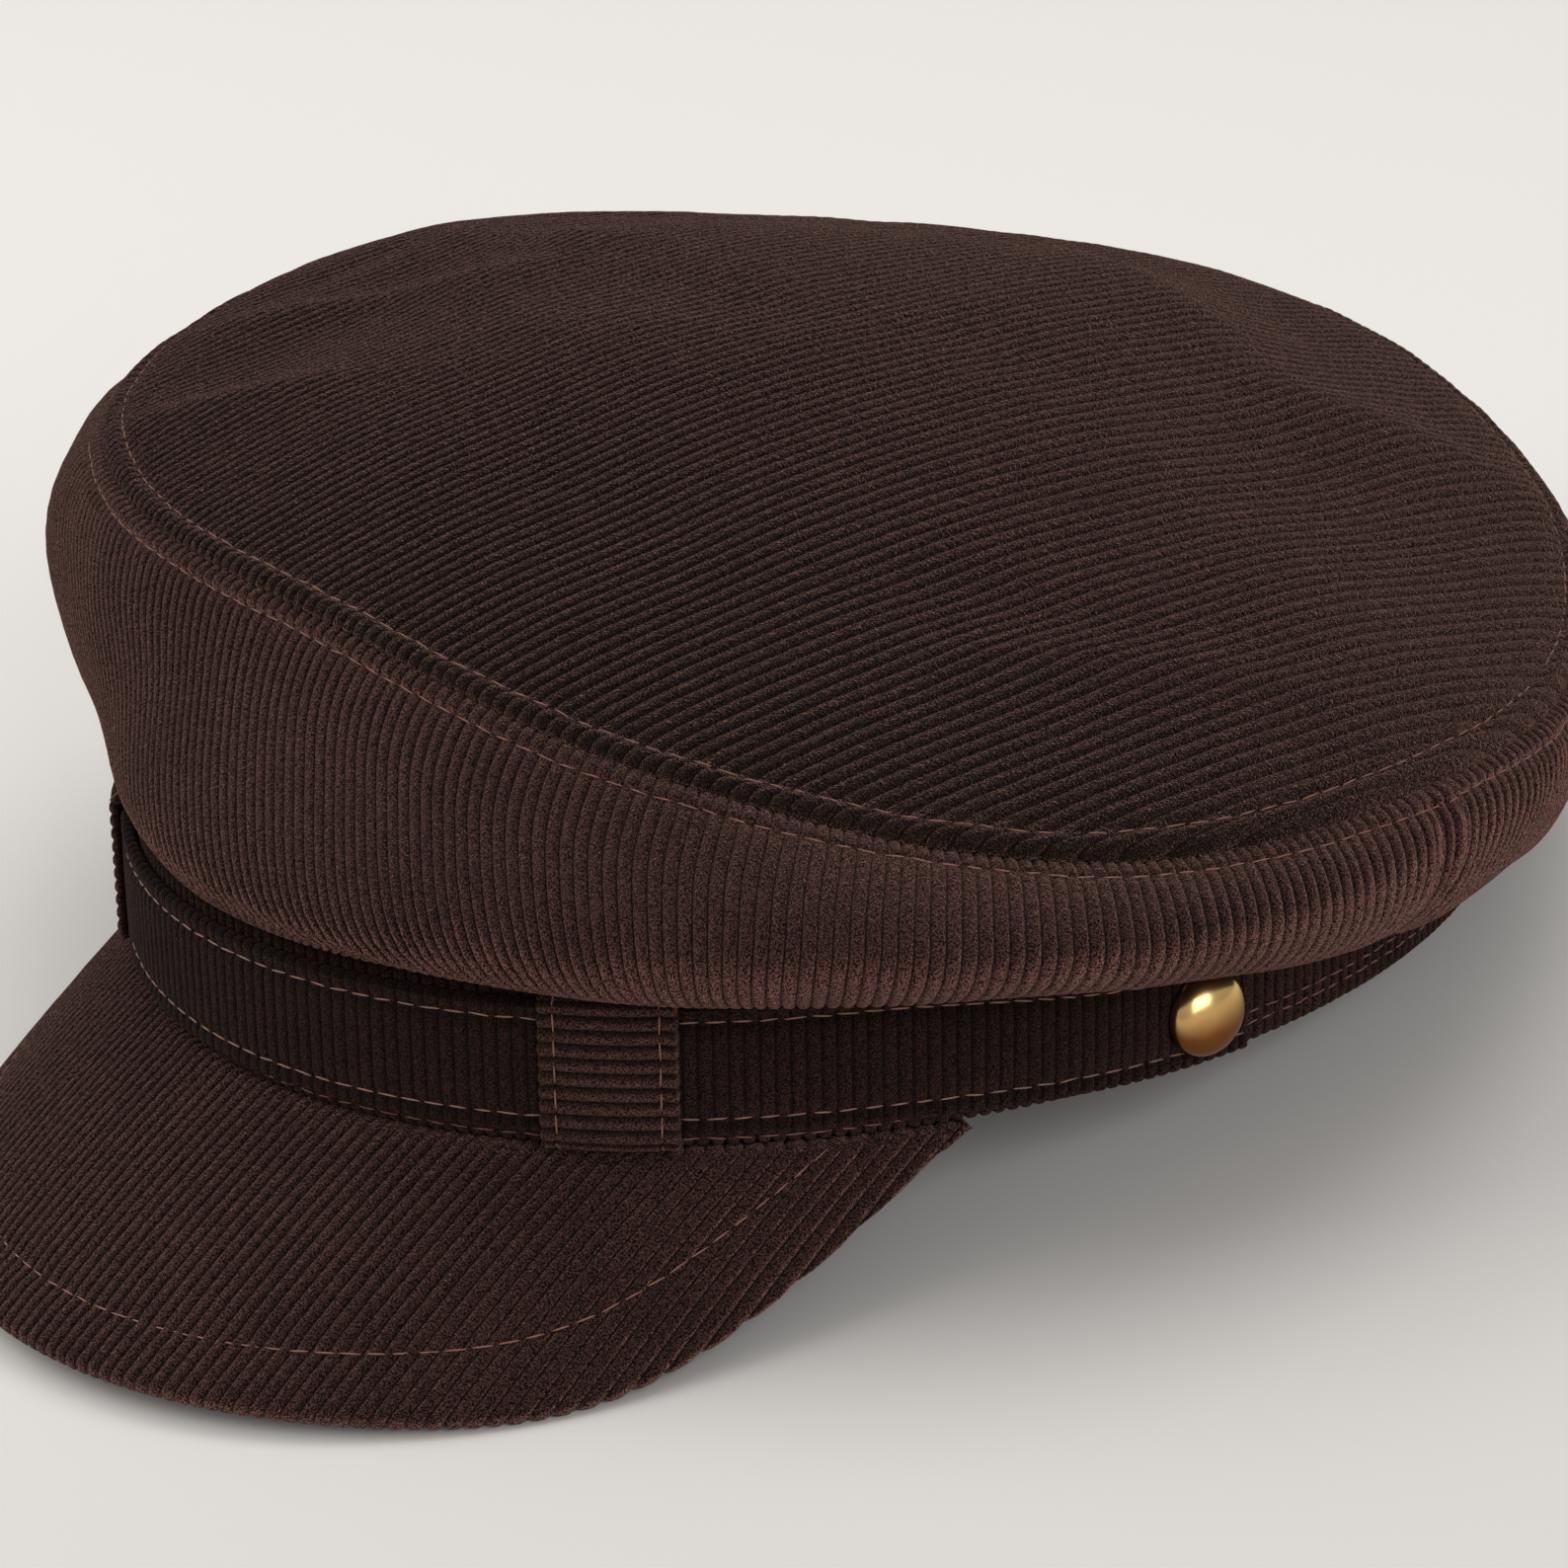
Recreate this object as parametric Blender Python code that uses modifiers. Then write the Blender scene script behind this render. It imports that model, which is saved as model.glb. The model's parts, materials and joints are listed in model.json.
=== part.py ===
"""A skipper cap in corduroy, standing as it would on a table: its weight on the back of the
head band and on the two sides of the peak. The crown leans to the wearer's left.

Front is -Y, the wearer's left is +X. The cap is modelled with its head band level, the band's
lower edge at height 0, and one empty then tips it back and lowers it to the table.
Directions round the head are in degrees: 0 is the front, 90 the wearer's left, 180 the back.
"""
import math

import bmesh
import bpy
import numpy as np
from mathutils import Vector

# Cloth and gaps
CLEARANCE = 0.0003
CROWN_CLOTH = 0.0016
STRAP_CLOTH = 0.0018
KEEPER_CLOTH = 0.0012
BAND_WALL = 0.0028
PEAK_WALL = 0.0026

# The head band's outer oval
HEAD_WIDTH = 0.1678
HEAD_LENGTH = 0.2073

# The strap over the front of the band, its lower edge's height and its narrower ends
STRAP_WIDTH = 0.0182
STRAP_RISE = 0.0023
STRAP_END_WIDTH = 0.0155
STRAP_END_RISE = 0.0007
STRAP_TAPER_FROM = 55.0
BAND_MARGIN = 0.0003

# The keepers, the loops that hold the strap
KEEPER_DEGREES = 36.4
KEEPER_WIDTH = 0.0170
KEEPER_CORNER = 0.0014

# The buttons at the strap's ends
BUTTON_DEGREES = 82.0
BUTTON_WIDTH = 0.0115
BUTTON_DOME = 0.0032
BUTTON_RIM = 0.0009
STRAP_PAST_BUTTON = 0.0020

# The peak, measured level from the band, how far its edge hangs below the band, and how far
# its inner edge is tucked in under the band
PEAK_REACH = 0.0360
PEAK_DROOP = 0.0242
PEAK_SIDE_DROOP = 0.0010
PEAK_HALF_ANGLE = 63.2
PEAK_CORNER_POWER = 12.4
PEAK_END_WIDTH = 0.0010
PEAK_TUCK = 0.0020

# The crown's fold, where its side hangs lowest, past the band's oval
FOLD_FRONT = -0.0008
FOLD_SIDE = 0.0160
FOLD_BACK = 0.0085
FOLD_DROP = 0.0085

# The crown's rim, where the side is sewn to the tip, past the band's oval
RIM_FRONT = -0.0156
RIM_SIDE = 0.0192
RIM_BACK = 0.0012
RIM_HEIGHT = 0.0325
LEAN_LEFT = 7.4
SIDE_SWELL = 0.0115
TIP_DOME = 0.0221
BACK_SEAM_DEGREES = 89.0

# The curve of the crown's side. The cloth runs level from the band for the shoulder's share of
# the overhang. The others set how strongly each end of the two curves holds its direction: leaving
# the shoulder and reaching the fold, then leaving the fold and reaching the rim.
SHOULDER_SHARE = 0.35
SHOULDER_HOLD = 0.4
UNDER_FOLD_HOLD = 0.5
FOLD_SWELL = 1.2
FOLD_HOLD = 0.18
RIM_SWELL = 1.1
RIM_HOLD = 0.25

# How deep the softest dents and puckers are, and how far the cloth flattens on the table
DENT_DEPTH = 0.0040
PUCKER_DEPTH = 0.0030
CLOTH_PRESSED = 0.0006

# Round the crown: how far out the rim and the fold lie, as shares of their ovals, how far the
# rim rises over its leaning plane as a share of the rim's height, how far the fold hangs as a
# share of FOLD_DROP, and how far the side swells out as a share of SIDE_SWELL
# degrees, rim, rim_rise, fold, fold_drop, swell
CROWN_ROWS = (
    (-150, 0.980, 0.00, 1.000, 0.86, 0.45),
    (-120, 0.980, -0.04, 1.000, 0.69, 0.67),
    (-90, 1.030, -0.02, 0.995, 0.39, 1.05),
    (-60, 1.095, -0.14, 0.990, -0.07, 1.45),
    (-30, 1.060, -0.01, 0.980, -0.41, 0.52),
    (0, 0.983, 0.10, 1.040, -0.40, 0.30),
    (30, 1.007, 0.02, 1.020, -0.06, 0.83),
    (60, 1.050, -0.07, 0.995, 0.17, 1.25),
    (90, 1.006, -0.05, 0.975, 0.90, 0.78),
    (120, 0.980, -0.12, 0.970, 0.77, 0.38),
    (150, 0.980, 0.00, 0.995, 0.99, 0.58),
    (180, 0.988, 0.09, 0.995, 0.97, 0.42),
)

# Soft dents in the tip. Place: direction, and share of the way from the middle to the rim.
# Size: shares of the rim's half width, along and across the dent. Turn: degrees from radial.
# degrees, reach, length, width, turn, depth
TIP_DENTS = (
    (-62, 0.72, 0.34, 0.13, 70, 0.80),
    (-100, 0.78, 0.30, 0.12, 85, 0.60),
    (-150, 0.74, 0.30, 0.14, 80, 0.70),
    (172, 0.80, 0.26, 0.12, 60, 0.80),
    (20, 0.70, 0.30, 0.16, 80, 0.35),
    (110, 0.55, 0.30, 0.16, 75, 0.40),
)

# Puckers in the crown's side, vertical hollows that are deepest at the fold
# degrees, half_width, depth
SIDE_PUCKERS = (
    (-150, 9.0, 0.60),
    (-96, 10.0, 0.50),
    (104, 4.0, 0.35),
    (116, 4.0, 0.55),
    (134, 5.0, 0.80),
    (160, 8.0, 0.60),
)

# How finely the surfaces are divided
STEPS_ROUND = 96
STEPS_UNDER = 3
STEPS_UP = 7
TIP_RINGS = 7
KEEPER_STEPS = 5
BUTTON_STEPS = 24
DOME_STEPS = 5
PEAK_STEPS_ROUND = 44
PEAK_STEPS_OUT = 6
REST_HALVINGS = 40

# Steeper than any cap tips back, and the block that stands for the table
STEEPEST_REST = -40.0
TABLE_WIDTH = 1.0
TABLE_DEPTH = 0.5

CORDUROY_COLOUR = (0.045, 0.022, 0.018)
BRASS_COLOUR = (0.62, 0.42, 0.17)


def smoothstep(share):
    share = min(max(share, 0.0), 1.0)
    return share * share * (3 - 2 * share)


def spread(start, end, count):
    return [start + (end - start) * i / count for i in range(count + 1)]


def turn_between(a, b):
    """The turn from b to a in degrees, between -180 and 180."""
    return (a - b + 180) % 360 - 180


def column(rows, index, degrees):
    """A table's column read at a direction, on a smooth closed curve through its rows."""
    step = 360 / len(rows)
    place = (degrees - rows[0][0]) / step
    first = math.floor(place)
    t = place - first
    p, q, r, s = (rows[(first + i) % len(rows)][index] for i in (-1, 0, 1, 2))
    return q + t * ((r - p) + t * ((2 * p - 5 * q + 4 * r - s) + t * (3 * (q - r) + s - p))) / 2


def round_head(degrees, out, height):
    """A point on the head band's oval, moved out from it, at a height."""
    turn = math.radians(degrees)
    x = (HEAD_WIDTH / 2 + out) * math.sin(turn)
    y = -(HEAD_LENGTH / 2 + out) * math.cos(turn)
    return Vector((x, y, height))


def degrees_along(length, degrees):
    """The turn that covers a length along the head band near a direction."""
    turn = math.radians(degrees)
    speed = math.hypot(HEAD_WIDTH / 2 * math.cos(turn), HEAD_LENGTH / 2 * math.sin(turn))
    return math.degrees(length / speed)


def outward(degrees):
    """The level direction square to the head band's oval."""
    turn = math.radians(degrees)
    return Vector((math.sin(turn) / HEAD_WIDTH, -math.cos(turn) / HEAD_LENGTH, 0)).normalized()


def crown_oval(degrees, front, side, back, share):
    """A level oval that reaches past the band by its own amount at the front, sides and back."""
    turn = math.radians(degrees)
    half_length = (HEAD_LENGTH + front + back) / 2
    middle = (back - front) / 2
    x = (HEAD_WIDTH / 2 + side) * share * math.sin(turn)
    y = middle - half_length * share * math.cos(turn)
    return Vector((x, y, 0))


def strap_end_share(degrees):
    """0 along the strap, 1 at its buttons."""
    span = BUTTON_DEGREES - STRAP_TAPER_FROM
    return smoothstep((abs(degrees) - STRAP_TAPER_FROM) / span)


def strap_edges(degrees):
    """The heights of the strap's lower and upper edges."""
    share = strap_end_share(degrees)
    lower = STRAP_RISE + (STRAP_END_RISE - STRAP_RISE) * share
    width = STRAP_WIDTH + (STRAP_END_WIDTH - STRAP_WIDTH) * share
    return lower, lower + width


BAND_HEIGHT = STRAP_RISE + STRAP_WIDTH + CLEARANCE + KEEPER_CLOTH + BAND_MARGIN
STRAP_FACE = CLEARANCE + STRAP_CLOTH
CROWN_SEAT = BAND_HEIGHT + CLEARANCE


def lean_height(point):
    """How far the crown's lean to the left lifts a point of its rim."""
    return -math.tan(math.radians(LEAN_LEFT)) * point.x


def rim_point(degrees):
    """The seam between the crown's side and its tip."""
    point = crown_oval(degrees, RIM_FRONT, RIM_SIDE, RIM_BACK, column(CROWN_ROWS, 1, degrees))
    rise = RIM_HEIGHT * (1 + column(CROWN_ROWS, 2, degrees))
    point.z = CROWN_SEAT + rise + lean_height(point)
    return point


def fold_point(degrees):
    """The lowest line of the crown's side, where it folds back under to the band."""
    point = crown_oval(degrees, FOLD_FRONT, FOLD_SIDE, FOLD_BACK, column(CROWN_ROWS, 3, degrees))
    point.z = CROWN_SEAT - FOLD_DROP * column(CROWN_ROWS, 4, degrees)
    return point


def pucker(degrees, share):
    """How far a pucker pulls the side in, at a share of the way up from the fold to the rim."""
    pulled = 0.0
    for middle, half_width, depth in SIDE_PUCKERS:
        across = turn_between(degrees, middle) / half_width
        pulled += depth * math.exp(-across * across)
    return PUCKER_DEPTH * pulled * (1 - share) ** 2


def bezier(a, b, c, d, t):
    s = 1 - t
    return a * s**3 + b * 3 * s * s * t + c * 3 * s * t * t + d * t**3


def side_profile(degrees):
    """Points up the crown's side: from its seat on the band, under and out to the fold, up to the rim."""
    out = outward(degrees)
    seat = round_head(degrees, -BAND_WALL / 2, CROWN_SEAT)
    fold = fold_point(degrees)
    top = rim_point(degrees) - Vector((0, 0, CROWN_CLOTH + CLEARANCE))
    reach = (fold - seat).dot(out)
    shoulder = seat + out * reach * SHOULDER_SHARE
    left = out * (reach - reach * SHOULDER_SHARE)
    under = [seat]
    for share in spread(0, 1, STEPS_UNDER)[:-1]:
        leave, reach_fold = shoulder + left * SHOULDER_HOLD, fold - left * UNDER_FOLD_HOLD
        under.append(bezier(shoulder, leave, reach_fold, fold, share))
    rise = top.z - fold.z
    swell = out * SIDE_SWELL * column(CROWN_ROWS, 5, degrees)
    low = fold + swell * FOLD_SWELL + Vector((0, 0, rise * FOLD_HOLD))
    high = top + swell * RIM_SWELL - Vector((0, 0, rise * RIM_HOLD))
    up = []
    for share in spread(0, 1, STEPS_UP):
        up.append(bezier(fold, low, high, top, share) - out * pucker(degrees, share))
    return under + up


def tip_dents(point, middle):
    """How far the dents lower a point of the tip."""
    half_width = HEAD_WIDTH / 2 + RIM_SIDE
    lowered = 0.0
    for degrees, reach, length, width, turn, depth in TIP_DENTS:
        centre = middle + (rim_point(degrees) - middle) * reach
        away = (point - centre) / half_width
        heading = math.radians(degrees + turn)
        along = away.x * math.sin(heading) - away.y * math.cos(heading)
        across = away.x * math.cos(heading) + away.y * math.sin(heading)
        lowered += depth * math.exp(-((along / length) ** 2) - (across / width) ** 2)
    return DENT_DEPTH * lowered


def tip_point(degrees, share):
    """A point of the crown's tip, at a share of the way from its middle to the rim."""
    middle = crown_oval(0, RIM_FRONT, RIM_SIDE, RIM_BACK, 0)
    middle.z = CROWN_SEAT + RIM_HEIGHT + lean_height(middle)
    point = middle + (rim_point(degrees) - middle) * share
    point.z += TIP_DOME * (1 - share * share)
    point.z -= tip_dents(point, middle) * (1 - share**4)
    return point


def peak_point(share_round, share_out):
    """The peak's upper face, from under the band's edge (0) out to the peak's own edge (1)."""
    degrees = share_round * PEAK_HALF_ANGLE
    width = 1 - abs(share_round) ** PEAK_CORNER_POWER
    start = round_head(degrees, PEAK_END_WIDTH / 2, -CLEARANCE)
    end = start + Vector((0, -PEAK_REACH * width - PEAK_END_WIDTH, 0))
    end.z -= (PEAK_DROOP + PEAK_SIDE_DROOP * share_round**2) * width
    return start.lerp(end, share_out)


def loft(name, rows, closed=False, pole=None):
    """A surface through rows of points. Seen from outside, the points run left to right and the rows up."""
    mesh = bpy.data.meshes.new(name)
    built = bmesh.new()
    made = [[built.verts.new(point) for point in row] for row in rows]
    count = len(rows[0])
    spans = count if closed else count - 1
    for lower, upper in zip(made, made[1:]):
        for i in range(spans):
            j = (i + 1) % count
            built.faces.new((lower[i], lower[j], upper[j], upper[i]))
    if pole is not None:
        top = built.verts.new(pole)
        for i in range(spans):
            built.faces.new((made[-1][i], made[-1][(i + 1) % count], top))
    built.to_mesh(mesh)
    built.free()
    return bpy.data.objects.new(name, mesh)


def wall(obj, thickness):
    """Gives a surface its thickness, inwards from the side that shows."""
    solidify = obj.modifiers.new("wall", "SOLIDIFY")
    solidify.thickness = thickness
    solidify.offset = -1
    return obj


def make_crown_tip():
    round_steps = [360 * i / STEPS_ROUND for i in range(STEPS_ROUND)]
    shares = [1 - i / TIP_RINGS for i in range(TIP_RINGS)]
    rows = [[tip_point(degrees, share) for degrees in round_steps] for share in shares]
    return wall(loft("crown_tip", rows, closed=True, pole=tip_point(0, 0)), CROWN_CLOTH)


def make_crown_side(name, start, end):
    """One panel of the crown's side, between two directions."""
    steps = round(STEPS_ROUND * (end - start) / 360)
    columns = [side_profile(degrees) for degrees in spread(start, end, steps)]
    return wall(loft(name, list(zip(*columns))), CROWN_CLOTH)


def make_head_band():
    round_steps = [360 * i / STEPS_ROUND for i in range(STEPS_ROUND)]
    rows = [[round_head(degrees, 0, height) for degrees in round_steps] for height in (0, BAND_HEIGHT)]
    return wall(loft("head_band", rows, closed=True), BAND_WALL)


def make_strap():
    end = BUTTON_DEGREES + degrees_along(BUTTON_WIDTH / 2 + STRAP_PAST_BUTTON, BUTTON_DEGREES)
    turns = spread(-end, end, round(STEPS_ROUND * 2 * end / 360))
    rows = []
    for share in (0, 0.5, 1):
        row = []
        for degrees in turns:
            lower, upper = strap_edges(degrees)
            row.append(round_head(degrees, STRAP_FACE, lower + (upper - lower) * share))
        rows.append(row)
    return wall(loft("strap", rows), STRAP_CLOTH)


def make_keeper(name, side):
    """A loop over the strap, open towards the band, as an outline of (out, height) carried round the head."""
    lower, upper = strap_edges(KEEPER_DEGREES)
    lower -= CLEARANCE + KEEPER_CLOTH
    upper += CLEARANCE + KEEPER_CLOTH
    face = STRAP_FACE + CLEARANCE + KEEPER_CLOTH
    bend = KEEPER_CORNER * (1 - math.sqrt(0.5))
    outline = [
        (CLEARANCE, lower),
        (face - KEEPER_CORNER, lower),
        (face - bend, lower + bend),
        (face, lower + KEEPER_CORNER),
        (face, upper - KEEPER_CORNER),
        (face - bend, upper - bend),
        (face - KEEPER_CORNER, upper),
        (CLEARANCE, upper),
    ]
    half = degrees_along(KEEPER_WIDTH / 2, KEEPER_DEGREES)
    turns = spread(side * KEEPER_DEGREES - half, side * KEEPER_DEGREES + half, KEEPER_STEPS)
    rows = [[round_head(degrees, out, height) for degrees in turns] for out, height in outline]
    return wall(loft(name, rows), KEEPER_CLOTH)


def make_button(name, side):
    """A shallow dome on a thin rim, turned about +Z and then laid on the strap."""
    radius = BUTTON_WIDTH / 2
    crown = radius - BUTTON_RIM / 2
    profile = [(0, BUTTON_RIM + BUTTON_DOME)]
    for i in range(1, DOME_STEPS + 1):
        turn = math.radians(90 * i / DOME_STEPS)
        profile.append((crown * math.sin(turn), BUTTON_RIM + BUTTON_DOME * math.cos(turn)))
    profile += [(radius, BUTTON_RIM), (radius, 0), (0, 0)]
    mesh = bpy.data.meshes.new(name)
    mesh.from_pydata([(x, 0, z) for x, z in profile], [(i, i + 1) for i in range(len(profile) - 1)], [])
    button = bpy.data.objects.new(name, mesh)
    screw = button.modifiers.new("turned", "SCREW")
    screw.steps = screw.render_steps = BUTTON_STEPS
    screw.use_merge_vertices = True
    screw.merge_threshold = 0.00001
    lower, upper = strap_edges(BUTTON_DEGREES)
    degrees = side * BUTTON_DEGREES
    button.location = round_head(degrees, STRAP_FACE + CLEARANCE, (lower + upper) / 2)
    button.rotation_euler = outward(degrees).to_track_quat("Z", "X").to_euler()
    return button


def make_peak():
    rounds = spread(-1, 1, PEAK_STEPS_ROUND)
    outs = reversed(spread(0, 1, PEAK_STEPS_OUT))
    rows = [[peak_point(share, out) for share in rounds] for out in outs]
    rows.append([round_head(share * PEAK_HALF_ANGLE, -PEAK_TUCK, -CLEARANCE) for share in rounds])
    return wall(loft("peak", rows), PEAK_WALL)


def material(name, colour, roughness, metallic=0.0):
    made = bpy.data.materials.new(name)
    made.use_nodes = True
    shader = made.node_tree.nodes["Principled BSDF"]
    shader.inputs["Base Color"].default_value = (*colour, 1)
    shader.inputs["Roughness"].default_value = roughness
    shader.inputs["Metallic"].default_value = metallic
    made.diffuse_color = (*colour, 1)
    return made


def world_points(objects):
    """Every evaluated point of the objects, in world space."""
    bpy.context.view_layer.update()
    graph = bpy.context.evaluated_depsgraph_get()
    found = []
    for obj in objects:
        evaluated = obj.evaluated_get(graph)
        mesh = evaluated.to_mesh()
        found += [evaluated.matrix_world @ vertex.co for vertex in mesh.vertices]
        evaluated.to_mesh_clear()
    return np.array(found)


def tip_to_rest(band, peak):
    """The turn about X that brings the band's back and the peak's edge down to one level plane."""
    band_points, peak_points = world_points([band]), world_points([peak])

    def lowest(points, turn):
        return (points[:, 1] * math.sin(turn) + points[:, 2] * math.cos(turn)).min()

    flat, steep = 0.0, math.radians(STEEPEST_REST)
    for _ in range(REST_HALVINGS):
        turn = (flat + steep) / 2
        if lowest(peak_points, turn) < lowest(band_points, turn):
            flat = turn
        else:
            steep = turn
    return turn


def main():
    for old in list(bpy.data.objects):
        bpy.data.objects.remove(old)
    cap = bpy.data.collections.new("skipper_cap")
    helpers = bpy.data.collections.new("cutters")
    for collection in (cap, helpers):
        bpy.context.scene.collection.children.link(collection)

    root = bpy.data.objects.new("cap_root", None)
    cap.objects.link(root)
    half_gap = math.degrees(CLEARANCE / HEAD_WIDTH)
    seam = BACK_SEAM_DEGREES
    pieces = {
        "crown_tip": make_crown_tip(),
        "crown_side_front": make_crown_side("crown_side_front", half_gap - seam, seam - half_gap),
        "crown_side_back": make_crown_side("crown_side_back", seam + half_gap, 360 - seam - half_gap),
        "head_band": make_head_band(),
        "strap": make_strap(),
        "keeper_left": make_keeper("keeper_left", 1),
        "keeper_right": make_keeper("keeper_right", -1),
        "button_left": make_button("button_left", 1),
        "button_right": make_button("button_right", -1),
        "peak": make_peak(),
    }
    for name, piece in pieces.items():
        cap.objects.link(piece)
        piece.parent = root
        if name.startswith("button"):
            piece.data.materials.append(material(name + "_brass", BRASS_COLOUR, 0.25, 1.0))
        else:
            piece.data.materials.append(material(name + "_corduroy", CORDUROY_COLOUR, 0.9))
        for polygon in piece.data.polygons:
            polygon.use_smooth = True

    root.rotation_euler.x = tip_to_rest(pieces["head_band"], pieces["peak"])
    points = world_points(pieces.values())
    low, high = points.min(axis=0), points.max(axis=0)
    middle = (low + high) / 2
    root.location = (-middle[0], -middle[1], -low[2] - CLOTH_PRESSED)

    bpy.ops.mesh.primitive_cube_add(size=1, location=(0, 0, -TABLE_DEPTH / 2))
    table = bpy.context.object
    table.name = "table_below"
    table.scale = (TABLE_WIDTH, TABLE_WIDTH, TABLE_DEPTH)
    for collection in table.users_collection:
        collection.objects.unlink(table)
    helpers.objects.link(table)
    table.hide_render = True
    table.display_type = "WIRE"
    for name in ("head_band", "peak"):
        flatten = pieces[name].modifiers.new("flat where it rests", "BOOLEAN")
        flatten.operation = "DIFFERENCE"
        flatten.solver = "EXACT"
        flatten.object = table


main()
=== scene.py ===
# %% [markdown]
# # A skipper cap in corduroy
# The cap is a soft crown on a plain head band, with a strap, two keepers, two brass buttons and a
# stiff peak. Everything but the buttons is covered in corduroy, a cloth of raised pile ribs called
# wales. The wales are the cap's whole character, so this lesson models them as real ridges, cut and
# turned by every seam, and leaves only the fuzz of the pile to the material.

# %% Load the frame
import json
import math

import bmesh
import bpy
import numpy as np
from mathutils import Matrix, Vector

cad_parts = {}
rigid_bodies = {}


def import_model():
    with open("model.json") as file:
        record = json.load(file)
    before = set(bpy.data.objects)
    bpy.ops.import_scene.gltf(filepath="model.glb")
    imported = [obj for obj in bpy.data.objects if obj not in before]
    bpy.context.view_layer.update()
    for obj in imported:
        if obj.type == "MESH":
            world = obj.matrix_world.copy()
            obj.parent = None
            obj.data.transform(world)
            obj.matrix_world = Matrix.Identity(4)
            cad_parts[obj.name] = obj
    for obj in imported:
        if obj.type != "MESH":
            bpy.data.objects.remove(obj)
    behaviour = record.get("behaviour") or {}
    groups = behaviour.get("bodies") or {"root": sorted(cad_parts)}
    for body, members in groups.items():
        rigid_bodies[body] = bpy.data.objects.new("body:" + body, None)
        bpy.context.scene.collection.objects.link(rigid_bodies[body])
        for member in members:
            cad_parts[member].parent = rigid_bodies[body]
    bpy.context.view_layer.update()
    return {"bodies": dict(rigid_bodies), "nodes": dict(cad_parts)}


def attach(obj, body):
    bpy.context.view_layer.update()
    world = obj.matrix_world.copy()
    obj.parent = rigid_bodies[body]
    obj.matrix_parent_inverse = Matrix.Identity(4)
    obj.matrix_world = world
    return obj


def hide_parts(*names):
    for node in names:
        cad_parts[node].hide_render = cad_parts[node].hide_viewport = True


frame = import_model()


def add_object(name, data):
    added = bpy.data.objects.new(name, data)
    bpy.context.scene.collection.objects.link(added)
    return added


kept = set(frame["nodes"].values()) | set(frame["bodies"].values())
for old in [obj for obj in bpy.data.objects if obj not in kept]:
    bpy.data.objects.remove(old)

# %% [markdown]
# ## The cap's own sizes
# A milliner draws a cap level, with the head band's lower edge as the base line. These are the solid
# model's sizes, so each detailed piece lands where its plain solid is. Only the fold is set a little
# higher here at the wearer's left. Directions round the head are in degrees: 0 is the front, 90 the
# wearer's left and 180 the back.

# %% Sizes of the cap
CLEARANCE = 0.0003
CROWN_CLOTH = 0.0016
STRAP_CLOTH = 0.0018
KEEPER_CLOTH = 0.0012
BAND_WALL = 0.0028
PEAK_WALL = 0.0026

HEAD_WIDTH = 0.1678
HEAD_LENGTH = 0.2073

STRAP_WIDTH = 0.0182
STRAP_RISE = 0.0023
STRAP_END_WIDTH = 0.0155
STRAP_END_RISE = 0.0007
STRAP_TAPER_FROM = 55.0
BAND_MARGIN = 0.0003

KEEPER_DEGREES = 36.4
KEEPER_WIDTH = 0.0170
KEEPER_CORNER = 0.0014

BUTTON_DEGREES = 82.0
BUTTON_WIDTH = 0.0115
BUTTON_DOME = 0.0032
BUTTON_RIM = 0.0009
STRAP_PAST_BUTTON = 0.0020

PEAK_REACH = 0.0360
PEAK_DROOP = 0.0242
PEAK_SIDE_DROOP = 0.0010
PEAK_HALF_ANGLE = 63.2
PEAK_CORNER_POWER = 12.4
PEAK_END_WIDTH = 0.0010

FOLD_FRONT = -0.0008
FOLD_SIDE = 0.0160
FOLD_BACK = 0.0085
FOLD_DROP = 0.0085

RIM_FRONT = -0.0156
RIM_SIDE = 0.0192
RIM_BACK = 0.0012
RIM_HEIGHT = 0.0325
LEAN_LEFT = 7.4
SIDE_SWELL = 0.0115
TIP_DOME = 0.0221
BACK_SEAM_DEGREES = 89.0

SHOULDER_SHARE = 0.35
SHOULDER_HOLD = 0.4
UNDER_FOLD_HOLD = 0.5
FOLD_SWELL = 1.2
FOLD_HOLD = 0.18
RIM_SWELL = 1.1
RIM_HOLD = 0.25

DENT_DEPTH = 0.0040
PUCKER_DEPTH = 0.0030

BAND_HEIGHT = STRAP_RISE + STRAP_WIDTH + CLEARANCE + KEEPER_CLOTH + BAND_MARGIN
STRAP_FACE = CLEARANCE + STRAP_CLOTH
CROWN_SEAT = BAND_HEIGHT + CLEARANCE

# degrees, rim, rim_rise, fold, fold_drop, swell
CROWN_ROWS = np.array((
    (-150, 0.980, 0.00, 1.000, 0.86, 0.45),
    (-120, 0.980, -0.04, 1.000, 0.69, 0.67),
    (-90, 1.030, -0.02, 0.995, 0.39, 1.05),
    (-60, 1.095, -0.14, 0.990, -0.07, 1.45),
    (-30, 1.060, -0.01, 0.980, -0.41, 0.52),
    (0, 0.983, 0.10, 1.040, -0.40, 0.30),
    (30, 1.007, 0.02, 1.020, -0.06, 0.83),
    (60, 1.050, -0.07, 0.995, -0.02, 1.25),
    (90, 1.006, -0.05, 0.975, 0.74, 0.78),
    (120, 0.980, -0.12, 0.970, 0.77, 0.38),
    (150, 0.980, 0.00, 0.995, 0.99, 0.58),
    (180, 0.988, 0.09, 0.995, 0.97, 0.42),
))

# degrees, reach, length, width, turn, depth
TIP_DENTS = (
    (-62, 0.72, 0.34, 0.13, 70, 0.80),
    (-100, 0.78, 0.30, 0.12, 85, 0.60),
    (-150, 0.74, 0.30, 0.14, 80, 0.70),
    (172, 0.80, 0.26, 0.12, 60, 0.80),
    (20, 0.70, 0.30, 0.16, 80, 0.35),
    (110, 0.55, 0.30, 0.16, 75, 0.40),
)

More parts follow.
